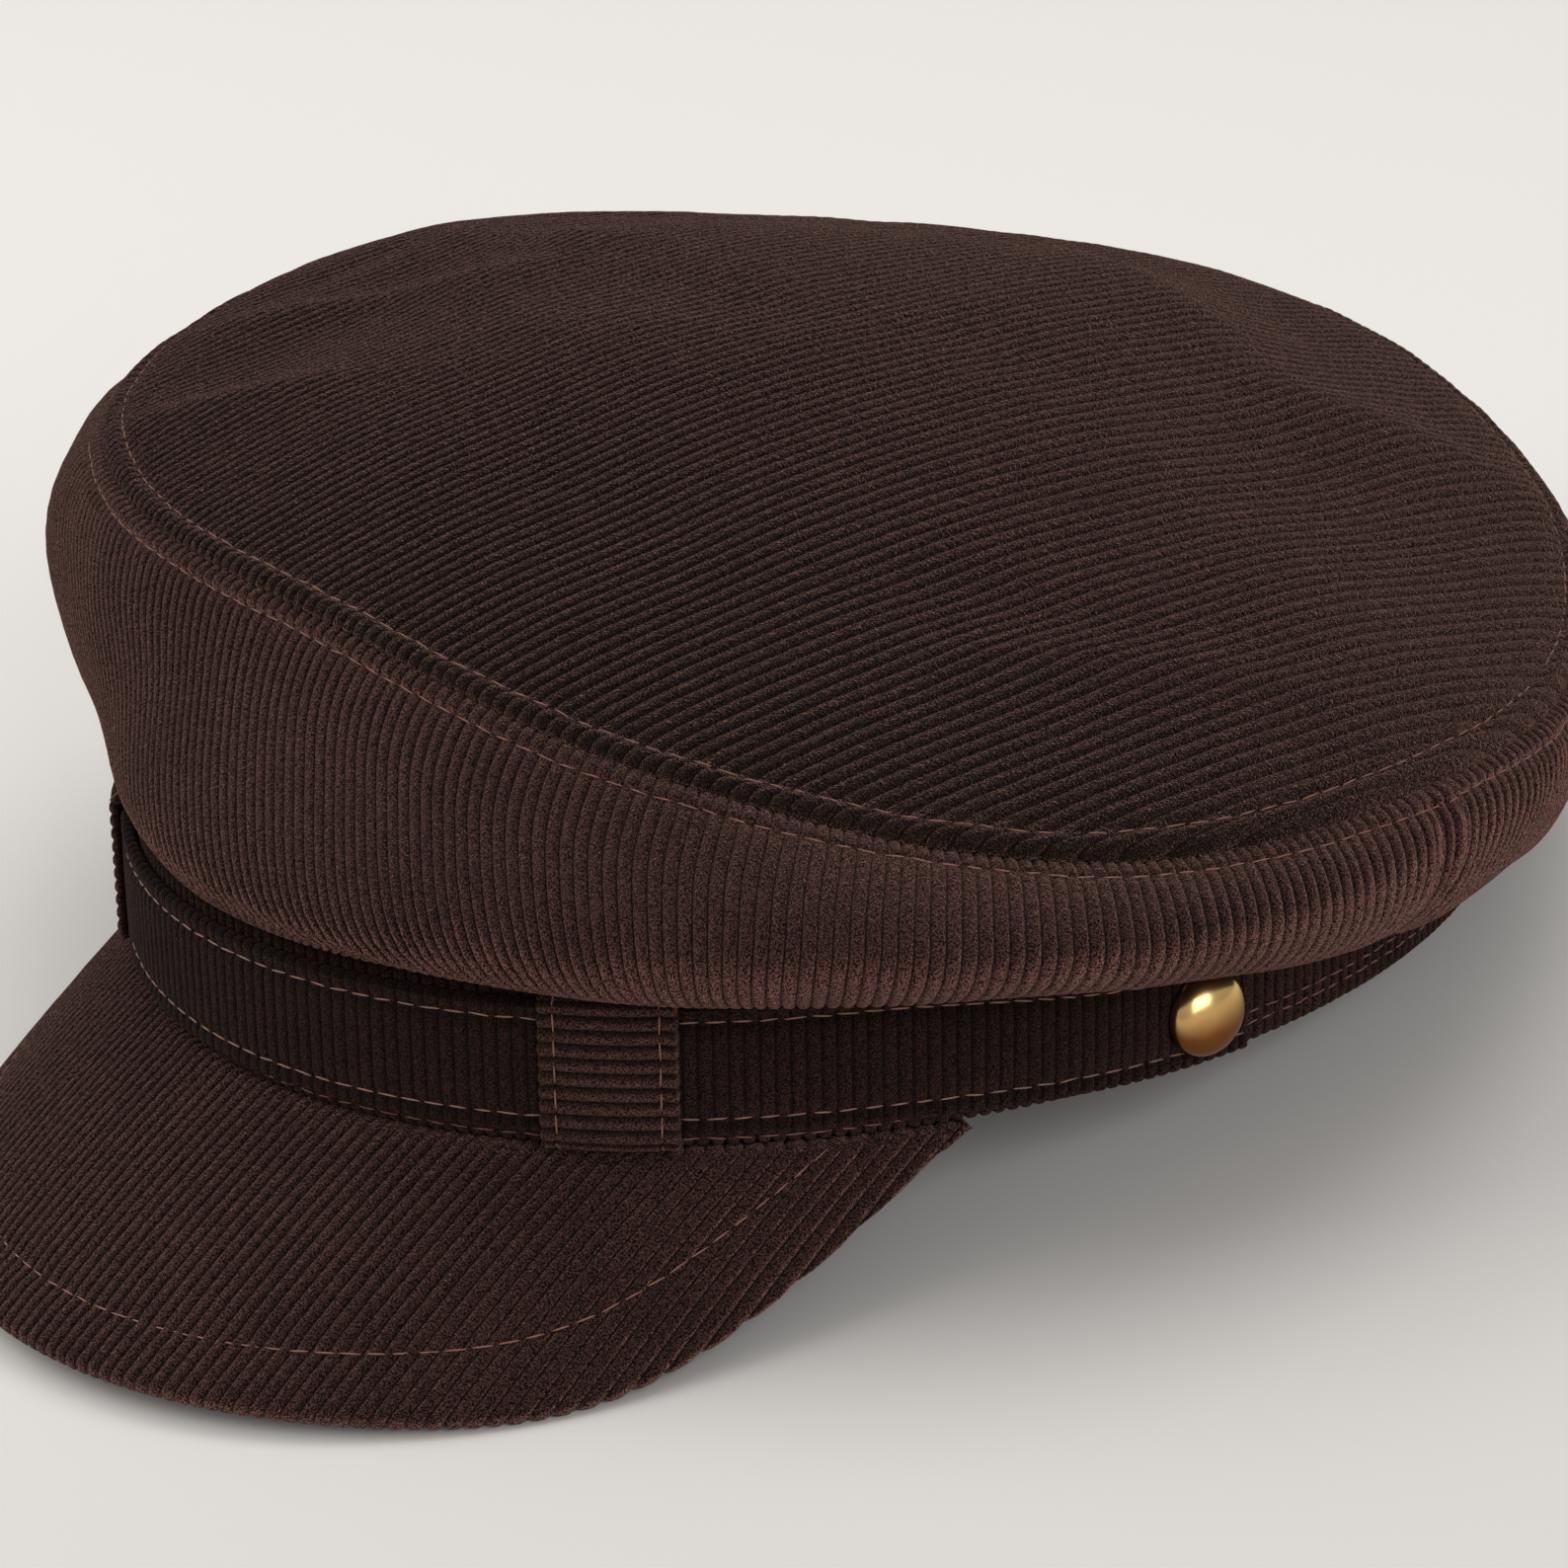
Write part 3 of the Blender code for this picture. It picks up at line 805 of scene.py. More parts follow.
# %% [markdown]
# ## Pieces of cloth
# Every piece of the cap's cloth is a wall: its outside, a turned edge, its inside and another turned
# edge. In code that is one closed loop of points, repeated from wale to wale along the piece. The
# loop gives the thickness and the rounded edges at once, so no modifier has to guess them.

# %% Build a wall of corduroy
LEAST_STEP = 0.00005
SAME_PLACE, NO_LENGTH = 0.000004, 0.000001


def wall_mesh(name, points, wales, raised, joined=False, capped=True):
    """A closed wall. points[i, j] goes round the wall's section with i and across the wales with j.
    raised says how much of the pile stands, for each i or for each point."""
    rounds, count = points.shape[:2]
    i, j = np.meshgrid(np.arange(rounds), np.arange(count if joined else count - 1), indexing="ij")
    next_i, next_j = (i + 1) % rounds, (j + 1) % count
    corners = (i * count + j, i * count + next_j, next_i * count + next_j, next_i * count + j)
    faces = np.stack([c.ravel() for c in corners], axis=-1).tolist()
    if capped and not joined:
        first = np.arange(rounds) * count
        faces += [first.tolist(), (first + count - 1)[::-1].tolist()]
    mesh = bpy.data.meshes.new(name)
    mesh.from_pydata(stood(points).reshape(-1, 3).tolist(), [], faces)
    spread_wales = np.broadcast_to(wales, (rounds, count)).ravel()
    raised = np.asarray(raised, float)
    if raised.ndim == 1:
        raised = raised[:, None]
    spread_raised = np.broadcast_to(raised, (rounds, count)).ravel()
    for label, values in (("wale", spread_wales), ("raised", spread_raised)):
        mesh.attributes.new(label, "FLOAT", "POINT").data.foreach_set("value", values.astype(np.float32))
    return mesh


def cleaned(mesh):
    """Merges points that lie on each other and turns every face outwards."""
    built = bmesh.new()
    built.from_mesh(mesh)
    bmesh.ops.remove_doubles(built, verts=built.verts, dist=SAME_PLACE)
    bmesh.ops.dissolve_degenerate(built, dist=NO_LENGTH, edges=built.edges)
    bmesh.ops.recalc_face_normals(built, faces=built.faces)
    built.to_mesh(mesh)
    built.free()
    for polygon in mesh.polygons:
        polygon.use_smooth = True
    return mesh


def cloth_piece(node, points, wales, raised, material, slot, joined=False, capped=True, **sizes):
    """One piece of corduroy that stands for its plain solid."""
    name = node + "_corduroy"
    wall = cleaned(wall_mesh(name, points, wales, raised, joined, capped))
    base = add_object(name + "_cloth", wall)
    mesh = grow(base, CORDUROY, material=material, **sizes)
    bpy.data.objects.remove(base)
    return finished_piece(name, mesh, node)


def finished_piece(name, mesh, node=None):
    """Lifts what its ridges pushed into the table, hangs the piece on the cap's body and hides the plain
    solid that it stands for, if any.
    """
    places = np.empty(len(mesh.vertices) * 3, np.float32)
    mesh.vertices.foreach_get("co", places)
    places[2::3] = np.maximum(places[2::3], 0.0)
    mesh.vertices.foreach_set("co", places)
    piece = add_object(name, mesh)
    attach(piece, "root")
    if node:
        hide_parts(node)
    triangles = sum(len(polygon.vertices) - 2 for polygon in mesh.polygons)
    made_pieces.append((name, triangles))
    print(name, triangles, "triangles")
    return piece


def wale_places(start, end):
    """Distances across the wales from start to end, six to a wale, and the wale count at each."""
    whole = np.arange(math.floor(start / WALE), math.ceil(end / WALE) + 1)
    counts = (whole[:, None] + WALE_STEPS).ravel()
    counts = counts[(counts * WALE > start + LEAST_STEP) & (counts * WALE < end - LEAST_STEP)]
    counts = np.concatenate([[start / WALE], counts, [end / WALE]])
    return counts * WALE, counts


def evenly_round(line, start, end, joined=False):
    """Directions from start to end, six to a wale measured along a line round the head."""
    fine = np.linspace(start, end, 4001)
    length = distances(line(fine))
    if joined:
        counts = (np.arange(round(length[-1] / WALE))[:, None] + WALE_STEPS).ravel()
        return np.interp(counts / round(length[-1] / WALE) * length[-1], length, fine), counts
    places, counts = wale_places(0, length[-1])
    return np.interp(places, length, fine), counts


def inner_side(points, rows, thickness):
    """The inside of a wall: some rows of its outside, moved in by the thickness."""
    along = np.gradient(points, axis=0)
    across = np.gradient(points, axis=1)
    normal = np.cross(along, across)
    normal /= np.maximum(np.linalg.norm(normal, axis=-1, keepdims=True), 1e-12)
    return points[rows] - normal[rows] * thickness


# %% [markdown]
# ## The corduroy's finish
# Corduroy is dull and soft. The pile on top of a wale catches light at a glancing angle, which is
# what the shader's sheen is for. Each groove between wales is painted nearly black: partly the bare
# ground cloth, partly painted shade where the groove gets little light. The pile's own grain is a fine
# noise in the colour and the bump, and slow noise shifts the colour a little, as brushed nap does.
# Cloth that faces the sky is painted darker and cloth that turns under is painted lighter: painted
# shade and light by facing, standing in for the way the downward pile shows its dark roots or its
# lighter tips to the light. The band and strap are cut the other way.

# %% Corduroy material
PILE_COLOUR = (0.053, 0.0230, 0.0190)
# Near black for the grooves: the ground cloth's own colour and painted groove shade together.
GROUND_AND_GROOVE_SHADE_COLOUR = (0.0022, 0.0010, 0.0009)
SHEEN_COLOUR = (0.62, 0.34, 0.27, 1)
PILE_LIGHT, PILE_DARK = 2.2, 0.10
GRAIN_SCALE, GRAIN_MIDDLE = 4600.0, 0.47
GROOVE_SHADE = 2.7
GROOVE_FRAY, FRAY_SCALE = 0.30, 2400.0
FACING_SHADE_RANGE = {"From Min": 0.0, "From Max": 0.50, "To Min": 1.0, "To Max": 0.46}
FACING_SHADE_SLOPE = -0.15
FACING_SHADE_LEAST = 0.15
BRUSHED_BROAD, BRUSHED_FINE = 20.0, 70.0
FUZZ_FINE, FUZZ_COARSE, FUZZ_HEIGHT = 4200.0, 1300.0, 0.00050


def corduroy(name, tone, sheen, speckle):
    """Dark brown corduroy. Tone scales the pile's colour and speckle its grain, for the way its pile is
    brushed: cloth that is looked at against the lie of its pile is darker, rougher and brighter at a
    glancing angle. A low tone is partly painted shade as well: a darker copy of the cloth for a piece
    that gets less light."""
    material, tree, shader = new_material(name)
    count = add_node(tree, "ShaderNodeAttribute", attribute_name="wale").outputs["Fac"]
    fray = maths(tree, "MULTIPLY_ADD", noise(tree, FRAY_SCALE), GROOVE_FRAY, -GROOVE_FRAY / 2)
    count = maths(tree, "ADD", count, fray)
    raised = add_node(tree, "ShaderNodeAttribute", attribute_name="raised").outputs["Fac"]
    # The groove mask for the colour: near black in each groove, partly the bare ground cloth and partly
    # painted shade where the groove gets little light.
    swing = maths(tree, "ABSOLUTE", maths(tree, "SINE", maths(tree, "MULTIPLY", count, math.pi)))
    hollow = maths(tree, "POWER", maths(tree, "SUBTRACT", 1.0, swing), GROOVE_SHADE)
    hollow = maths(tree, "MULTIPLY", hollow, raised)

    grain = noise(tree, GRAIN_SCALE, 3.0)
    pile = [v * tone for v in PILE_COLOUR]
    spots = maths(tree, "MULTIPLY_ADD", grain, speckle, GRAIN_MIDDLE - speckle / 2)
    spotted = blend(tree, spots, [v * PILE_DARK for v in pile], [v * PILE_LIGHT for v in pile])

    # Painted shade and light by facing: cloth that faces up is painted darker and cloth that faces down
    # lighter, standing in for how the downward pile meets the light. Slow brushing noise is mixed into the
    # same factor.
    up = facing_up(tree)
    facing_shade_and_brushing = add_node(tree, "ShaderNodeMapRange", {"Value": up, **FACING_SHADE_RANGE}, interpolation_type="SMOOTHSTEP")
    facing_shade_and_brushing = maths(tree, "MULTIPLY_ADD", up, FACING_SHADE_SLOPE, facing_shade_and_brushing.outputs["Result"])
    brushed = maths(tree, "ADD", noise(tree, BRUSHED_BROAD, 1.0), noise(tree, BRUSHED_FINE))
    facing_shade_and_brushing = maths(tree, "MULTIPLY", facing_shade_and_brushing, maths(tree, "MULTIPLY_ADD", brushed, 0.8, 0.2))
    shaded_pile = scaled(tree, spotted, maths(tree, "MAXIMUM", facing_shade_and_brushing, FACING_SHADE_LEAST))

    fuzz = maths(tree, "MULTIPLY_ADD", grain, speckle / 2, 1 - speckle / 4)
    bumps = maths(tree, "ADD", noise(tree, FUZZ_FINE, 3.0), noise(tree, FUZZ_COARSE))
    plug_all(tree, shader, {
        "Base Color": blend(tree, hollow, shaded_pile, GROUND_AND_GROOVE_SHADE_COLOUR),
        "Roughness": maths(tree, "MULTIPLY_ADD", grain, 0.12, 0.84),
        "Specular IOR Level": 0.08,
        "Sheen Weight": maths(tree, "MULTIPLY", fuzz, sheen),
        "Sheen Roughness": 0.32,
        "Sheen Tint": SHEEN_COLOUR,
        "Normal": bumped(tree, bumps, 1.0, FUZZ_HEIGHT),
    })
    return material


# Lit and shaded copies of one corduroy: the tones set the tip, band and strap much darker than the side and
# peak, partly for the way their nap lies and partly as painted shade, the tip for facing the sky and the band
# and strap for lying in the crown's shadow.
tip_corduroy = corduroy("tip_corduroy", 0.39, 0.33, 20.0)
side_corduroy = corduroy("side_corduroy", 1.24, 0.40, 10.0)
band_corduroy = corduroy("band_corduroy", 0.44, 0.06, 8.0)
strap_corduroy = corduroy("strap_corduroy", 0.25, 0.08, 9.0)
peak_corduroy = corduroy("peak_corduroy", 1.16, 0.40, 15.0)
keeper_corduroy = corduroy("keeper_corduroy", 0.74, 0.18, 8.0)

# %% [markdown]
# ## The crown's tip
# The tip's wales run from front to back and bend a little on the way, so its points are laid out
# that way too: columns across the cap at the wales' spacing, each from the front rim to the back.
# Near the rim the rows crowd together, to follow the seam.

# %% Tip
RIM_ROWS = np.array((0.0, 0.00015, 0.0004, 0.0008, 0.0013, 0.0019, 0.0025, 0.0030, 0.0036, 0.0044, 0.0056))
TIP_ROWS = 44
RIM_ROWS_LEAST = 4.0
INSIDE_STARTS = 6
TIP_INSIDE_STEP, SIDE_INSIDE_STEP = 4, 3
EDGE_PILE = 0.5

# How far back along the cap, in metres, and how far the wales turn to the left there, in degrees.
TIP_GRAIN = np.array(((-0.12, 13.0), (-0.05, 11.5), (-0.02, 6.5), (0.0, 3.5), (0.025, 0.0), (0.12, -1.0)))


def grain_drift(back):
    """How far to the left a wale of the tip has drifted at a distance back."""
    fine = np.linspace(TIP_GRAIN[0, 0], TIP_GRAIN[-1, 0], 241)
    slope = np.tan(np.radians(np.interp(fine, *TIP_GRAIN.T)))
    return np.interp(back, fine, np.cumsum(slope) * (fine[1] - fine[0]))


def crown_panel(name, outside, inside, pile, wales, material, capped=True):
    """A panel from its two sides, and from how much of the pile stands on its outside."""
    raised = np.concatenate([pile, np.zeros(inside.shape[:2])])
    raised[[0, len(outside) - 1]] = EDGE_PILE
    points = np.concatenate([outside, inside[::-1]])
    return cloth_piece(name, points, wales, raised, material, "corduroy", capped=capped)


def make_tip():
    along = RIM_POINTS[:, 1]
    across = RIM_POINTS[:, 0] - grain_drift(along)
    right_end, left_end = np.argmin(across), np.argmax(across)
    front = np.arange(right_end, left_end + 1)
    back = np.concatenate([np.arange(left_end, len(ROUND)), np.arange(1, right_end + 1)])[::-1]
    place, wales = wale_places(across[right_end], across[left_end])
    start = np.interp(place, across[front], along[front])
    length = np.interp(place, across[back], along[back]) - start
    edge = RIM_ROWS[:, None] * np.minimum(1, length / (RIM_ROWS[-1] * RIM_ROWS_LEAST))
    inner = np.linspace(0, 1, TIP_ROWS)[1:-1, None]
    between = edge[-1] + inner * (length - 2 * edge[-1])
    down = np.concatenate([edge, between, length - edge[::-1]])
    y = start + down
    x = place + grain_drift(y)
    outside = tip_surface(x, y)
    rows = np.arange(INSIDE_STARTS, len(down) - INSIDE_STARTS + 1, TIP_INSIDE_STEP)
    inside = outside[rows] - np.array((0, 0, CROWN_CLOTH))
    pile = pile_left(tip_place(x, y)[2])
    return crown_panel("crown_tip", outside, inside, pile, wales, tip_corduroy, capped=False)


make_tip()

# %% [markdown]
# ## The crown's side
# The side is two panels, one round the front and one round the back, that meet beside the head. Their
# wales run up and down. Each column of points starts in the rim seam, swells out, folds under at its
# lowest line and comes back in to the head band.

# %% Side panels
SIDE_ROWS = 15
UNDER_ROWS = 7
SIDE_SAMPLES = 1400
SIDE_CLOTH = CROWN_CLOTH * 0.8

# Cloth that is eased round a curve doesn't hang straight. How many degrees a wale would turn from
# the fold up to the rim if it kept on as it starts: direction, turn.
WALE_TWIST = np.array((
    (-89, 0), (-80, -12), (-70, -17), (-40, -18), (0, -17), (12, -16), (24, -12), (40, -6), (55, -5),
    (80, -5), (89, 0), (98, 6), (116, 7), (140, 0), (271, 0),
))
TWIST_EASES_AT = 0.62


def twisted(degrees, share_up):
    """Where the wale that passes a direction half way up lies at another height."""
    twist = np.interp(degrees, WALE_TWIST[:, 0], WALE_TWIST[:, 1])
    eased = 2 * np.maximum(share_up - TWIST_EASES_AT, 0) ** 2
    return degrees + twist * (share_up - eased - 0.5)


def make_side(name, start, end):
    degrees, wales = evenly_round(lambda d: CrownSide(d).points[PROFILE_STEPS // 2], start, end)
    fine = np.linspace(start, end, SIDE_SAMPLES)
    side = CrownSide(fine)
    upper = RIM_ROWS[:, None] + np.zeros(len(fine))
    shares = np.linspace(0, 1, SIDE_ROWS + 1)[1:, None]
    lower = RIM_ROWS[-1] + shares * (side.to_fold - RIM_ROWS[-1])
    under = side.to_fold + np.linspace(0, 1, UNDER_ROWS + 1)[1:, None] * (side.to_seat - side.to_fold)
    down = np.concatenate([upper, lower, under])
    surface = side.at(down)
    low, high = fold_line(fine)[:, 2], rim_line(fine)[:, 2]
    outside = np.empty((len(down), len(degrees), 3))
    for i, row in enumerate(surface):
        share_up = np.clip((row[:, 2] - low) / (high - low), 0, 1) if i < len(upper) + SIDE_ROWS else 0 * low
        outside[i] = read_line(twisted(degrees, np.interp(degrees, fine, share_up)), fine, row)
    rows = np.arange(INSIDE_STARTS, len(down), SIDE_INSIDE_STEP)
    inside = inner_side(outside, rows, SIDE_CLOTH)
    pile = pile_left(down[:, :1]) * pile_left(np.interp(degrees, fine, side.seam_distance()))
    return crown_panel(name, outside, inside, pile, wales, side_corduroy)


# The panels lap by a hair's breadth, so that no light shows through the seam between them.
SEAM_LAP = 0.05
make_side("crown_side_front", -BACK_SEAM_DEGREES - SEAM_LAP, BACK_SEAM_DEGREES + SEAM_LAP)
make_side("crown_side_back", BACK_SEAM_DEGREES - SEAM_LAP, 360 - BACK_SEAM_DEGREES + SEAM_LAP)

# %% [markdown]
# ## The head band
# The band is a ring of corduroy with its wales upright. Its lower edge is a fold, and the wales run
# on round the fold, which is why the edge looks like a row of little scallops.

# %% Head band
BAND_HEIGHTS = (1.0, 0.93, 0.75, 0.55, 0.38, 0.27, 0.20, 0.15, 0.11, 0.07)


def turned_edge(middle, radius, start, end, count):
    """Offsets (out, height) round a turned edge, from one angle to another in degrees."""
    turns = np.radians(np.linspace(start, end, count))
    return [(middle[0] + radius * math.cos(t), middle[1] + radius * math.sin(t)) for t in turns]


def make_band():
    degrees, wales = evenly_round(lambda d: round_head(d, 0, 0 * d), -180, 180, joined=True)
    radius = BAND_WALL / 2
    outline = [(0.0, BAND_HEIGHT * share) for share in BAND_HEIGHTS]
    outline += turned_edge((-radius, radius), radius, 0, -180, 7)
    outline += [(-BAND_WALL, BAND_HEIGHT * share) for share in (0.3, 0.65, 1.0)]
    raised = [1.0] * len(BAND_HEIGHTS) + [1, 1, 1, 1, 0.6, 0.3, 0.1] + [0.0] * 3
    points = np.array([round_head(degrees, out, height + 0 * degrees) for out, height in outline])
    return cloth_piece("head_band", points, wales, raised, band_corduroy, "band_corduroy", joined=True)


make_band()

# %% The strap
def strap_edges(degrees):
    share = smoothstep((np.abs(degrees) - STRAP_TAPER_FROM) / (BUTTON_DEGREES - STRAP_TAPER_FROM))
    lower = STRAP_RISE + (STRAP_END_RISE - STRAP_RISE) * share
    return lower, lower + STRAP_WIDTH + (STRAP_END_WIDTH - STRAP_WIDTH) * share


STRAP_END = BUTTON_DEGREES + (BUTTON_WIDTH / 2 + STRAP_PAST_BUTTON) / length_of_degree(BUTTON_DEGREES)
STRAP_WALE_HEIGHT = 0.00032
STRAP_STITCH_INSET = 0.0025
STRAP_VALLEY_DEPTH, STRAP_VALLEY_WIDTH = 0.00035, 0.0007
STRAP_SHARES = np.array((0.05, 0.085, 0.11, 0.137, 0.165, 0.20, 0.28, 0.39, 0.5))


def strap_face(degrees, share):
    """The strap's outer face, at a share of its width up from its lower edge."""
    lower, upper = strap_edges(degrees)
    width = upper - lower
    inset = np.minimum(share, 1 - share) * width
    sink = stitch_valley(inset, STRAP_STITCH_INSET, STRAP_VALLEY_DEPTH, STRAP_VALLEY_WIDTH)
    return round_head(degrees, STRAP_FACE - sink, lower + width * share)


def make_strap():
    degrees, wales = evenly_round(lambda d: round_head(d, STRAP_FACE, 0 * d), -STRAP_END, STRAP_END)
    radius = STRAP_CLOTH / 2
    lower, upper = strap_edges(degrees)
    up_shares = np.concatenate([STRAP_SHARES, 1 - STRAP_SHARES[-2::-1]])
    rows = [strap_face(degrees, share) for share in up_shares]
    for out, height in turned_edge((STRAP_FACE - radius, -radius), radius, 0, 180, 7):
        rows.append(round_head(degrees, out, upper + height))
    for share in (0.7, 0.3):
        rows.append(round_head(degrees, CLEARANCE, lower + (upper - lower) * share))
    for out, height in turned_edge((STRAP_FACE - radius, radius), radius, 180, 360, 7):
        rows.append(round_head(degrees, out, lower + height))
    raised = [1.0] * len(up_shares) + [1, 1, 1, 1, 0.6, 0.3, 0] + [0, 0] + [0, 0.3, 0.6, 1, 1, 1, 1]
    return cloth_piece("strap", np.array(rows), wales, raised, strap_corduroy, "corduroy",
                       wale_height=STRAP_WALE_HEIGHT)


make_strap()

# %% [markdown]
# ## The keepers
# Each keeper is a loop of cloth round the strap. It is cut across, so its wales lie level, and both
# of its side edges are turned under and sewn down.

# %% Keepers
KEEPER_WALE_HEIGHT = 0.00050
KEEPER_STITCH_INSET = 0.0021
KEEPER_LOW = 0.0003
KEEPER_VALLEY_DEPTH, KEEPER_VALLEY_WIDTH = 0.0004, 0.0006


def keeper_outline():
    """The keeper's outer face as (out, height) points, with the distance along it."""
    lower, upper = strap_edges(KEEPER_DEGREES)
    lower, upper = lower - CLEARANCE - KEEPER_CLOTH, upper + CLEARANCE + KEEPER_CLOTH
    face = STRAP_FACE + CLEARANCE + KEEPER_CLOTH
    points = [(CLEARANCE, lower)]
    points += turned_edge((face - KEEPER_CORNER, lower + KEEPER_CORNER), KEEPER_CORNER, -90, 0, 9)
    points += turned_edge((face - KEEPER_CORNER, upper - KEEPER_CORNER), KEEPER_CORNER, 0, 90, 9)
    points.append((CLEARANCE, upper))
    points = np.array(points)
    return points, distances(points)


def keeper_face(side, across, along, inset=0.0):
    """A point of the keeper: across its width and along its loop, moved in from its face."""
    outline, length = keeper_outline()
    ways = unit(np.gradient(outline, axis=0))
    out = np.interp(along, length, outline[:, 0] - ways[:, 1] * inset)
    height = np.interp(along, length, outline[:, 1] + ways[:, 0] * inset)
    degrees = side * KEEPER_DEGREES + across / length_of_degree(KEEPER_DEGREES)
    return round_head(degrees, out, height)


def make_keeper(name, side):
    outline, length = keeper_outline()
    along, wales = wale_places(0, length[-1])
    half = KEEPER_WIDTH / 2
    stitch = half - KEEPER_STITCH_INSET
    spots = [-half + 0.0001, -half + 0.0005, -stitch - 0.0006, -stitch, -stitch + 0.0007, -half / 3]
    rows = []
    for across in spots + [0.0] + [-v for v in reversed(spots)]:
        edge = half - abs(across)
        inset = stitch_valley(abs(across), stitch, KEEPER_VALLEY_DEPTH, KEEPER_VALLEY_WIDTH)
        inset += max(0.0, 0.0005 - edge) * 0.9
        rows.append(keeper_face(side, across, along, inset))
    outer = len(rows)
    for across in (half, half - 0.0004, 0.0, -half + 0.0004, -half):
        rows.append(keeper_face(side, across, along, KEEPER_CLOTH * (0.6 if abs(across) == half else 0.95)))
    raised = [0.7] + [1.0] * (outer - 2) + [0.7] + [0.3, 0, 0, 0, 0.3]
    return cloth_piece(name, np.array(rows), wales, raised, keeper_corduroy, "corduroy",
                       wale_height=KEEPER_WALE_HEIGHT)


make_keeper("keeper_left", 1)
make_keeper("keeper_right", -1)

# %% [markdown]
# ## The peak
# The peak is a stiff board covered in corduroy, top and bottom, with the wales running out to its
# edge. The cover is pulled round the edge, so each wale ends there in a small bump.

# %% Peak
PEAK_ROWS = 22
PEAK_STITCH_INSET = 0.0066
PEAK_VALLEY_DEPTH = 0.0004
PEAK_CAMBER = 0.0010
PEAK_TUCK_IN = 0.0030
PEAK_END_TAPER = 0.0050
PEAK_END_WALL = 0.3


def peak_top(x, share):
    """The peak's upper face, from the band (0) to the edge (1), very slightly arched."""
    start, end = peak_ends(x)
    points = start + (end - start) * np.asarray(share)[..., None]
    points[..., 2] += PEAK_CAMBER * np.sin(np.pi * share) * np.clip((start - end)[..., 1] / PEAK_REACH, 0, 1)
    return points


def peak_edge_distance(points, edge):
    """How far points of the peak are from its outer edge, in plan."""
    away = points[..., None, :2] - edge[::8, :2]
    return np.sqrt(np.min(np.sum(away**2, axis=-1), axis=-1))


def peak_columns():
    """Places across the peak, six to a wale, with the spacing measured square to the wales."""
    fine = np.linspace(-PEAK_HALF_WIDTH, PEAK_HALF_WIDTH, 3001)
    way = np.array((0, -PEAK_REACH, -PEAK_DROOP)) / math.hypot(PEAK_REACH, PEAK_DROOP)
    steps = np.linalg.norm(np.cross(np.diff(peak_ends(fine)[0], axis=0), way), axis=-1)
    across = np.concatenate([[0], np.cumsum(steps)])
    places, wales = wale_places(0, across[-1])
    return np.interp(places, across, fine), wales


def make_peak():
    x, wales = peak_columns()
    start, end = peak_ends(x)
    along = end - start
    length = np.linalg.norm(along, axis=-1, keepdims=True)
    along = along / length
    across = np.gradient(start * 0.3 + end * 0.7, axis=0)
    normal = unit(np.cross(along, across))
    normal *= np.sign(normal[:, 2:])
    from_end = (PEAK_HALF_WIDTH - np.abs(x)) / PEAK_END_TAPER
    wall = PEAK_WALL * (PEAK_END_WALL + (1 - PEAK_END_WALL) * smoothstep(from_end))[:, None]
    radius = wall / 2
    turned_in = outward(np.degrees(np.arcsin(x / PEAK_SPAN)))
    tuck = start - turned_in * PEAK_TUCK_IN
    tuck[..., 2] = -CLEARANCE
    rows = [tuck]
    shares = np.linspace(0, 1, PEAK_ROWS)[:-1]
    reach = 1 - radius[:, 0] / np.maximum(length[:, 0], 2 * radius[:, 0])
    for share in shares:
        row = peak_top(x, share * reach)
        sink = stitch_valley(peak_edge_distance(row, end), PEAK_STITCH_INSET, PEAK_VALLEY_DEPTH)
        rows.append(row - normal * sink[:, None])
    centre = peak_top(x, reach) - normal * radius
    for turn in np.radians(np.linspace(90, -90, 9)):
        rows.append(centre + (normal * math.sin(turn) + along * math.cos(turn)) * radius)
    for share in np.linspace(0.85, 0, 7):
        rows.append(peak_top(x, share * reach) - normal * wall)
    rows.append(tuck - np.array((0, 0, 1)) * wall)
    raised = [0.3] + [1.0] * (len(shares) + 9) + [1.0] * 7 + [0.3]
    return cloth_piece("peak", np.array(rows), wales, raised, peak_corduroy, "corduroy")


make_peak()

# %% [markdown]
# ## The buttons
# Each brass button is a smooth dome with a rounded back edge. A lathe profile carried round in small
# steps gives it an even highlight.

# %% Brass
# The darker colour is painted where the dome turns down, a painted reflection of darker surroundings, and
# where the tarnish noise runs low.
BRASS_DARK_REFLECTION_AND_TARNISH = (0.34, 0.125, 0.030)
BRASS_HIGH = (0.83, 0.56, 0.22)


def brass():
    material, tree, shader = new_material("brass")
    tarnish = noise(tree, 260.0, 4.0)
    # Painted reflection: faces that turn down get the dark amber that the dome would mirror from darker
    # surroundings, faces that turn up the bright brass. Tarnish noise shifts the blend as real patina.
    reflection_and_tarnish = maths(tree, "MULTIPLY_ADD", facing_up(tree), 1.6, 0.02)
    reflection_and_tarnish = maths(tree, "MULTIPLY_ADD", tarnish, 0.5, reflection_and_tarnish)
    plug_all(tree, shader, {
        "Base Color": blend(tree, reflection_and_tarnish, BRASS_DARK_REFLECTION_AND_TARNISH, BRASS_HIGH),
        "Metallic": 1.0,
        "Roughness": maths(tree, "MULTIPLY_ADD", tarnish, 0.16, 0.14),
        "Normal": bumped(tree, tarnish, 0.05, 0.0001),
    })
    return material


BUTTON_STEPS = 72
DOME_STEPS = 20
BUTTON_EDGE = BUTTON_RIM * 0.3
button_brass = brass()


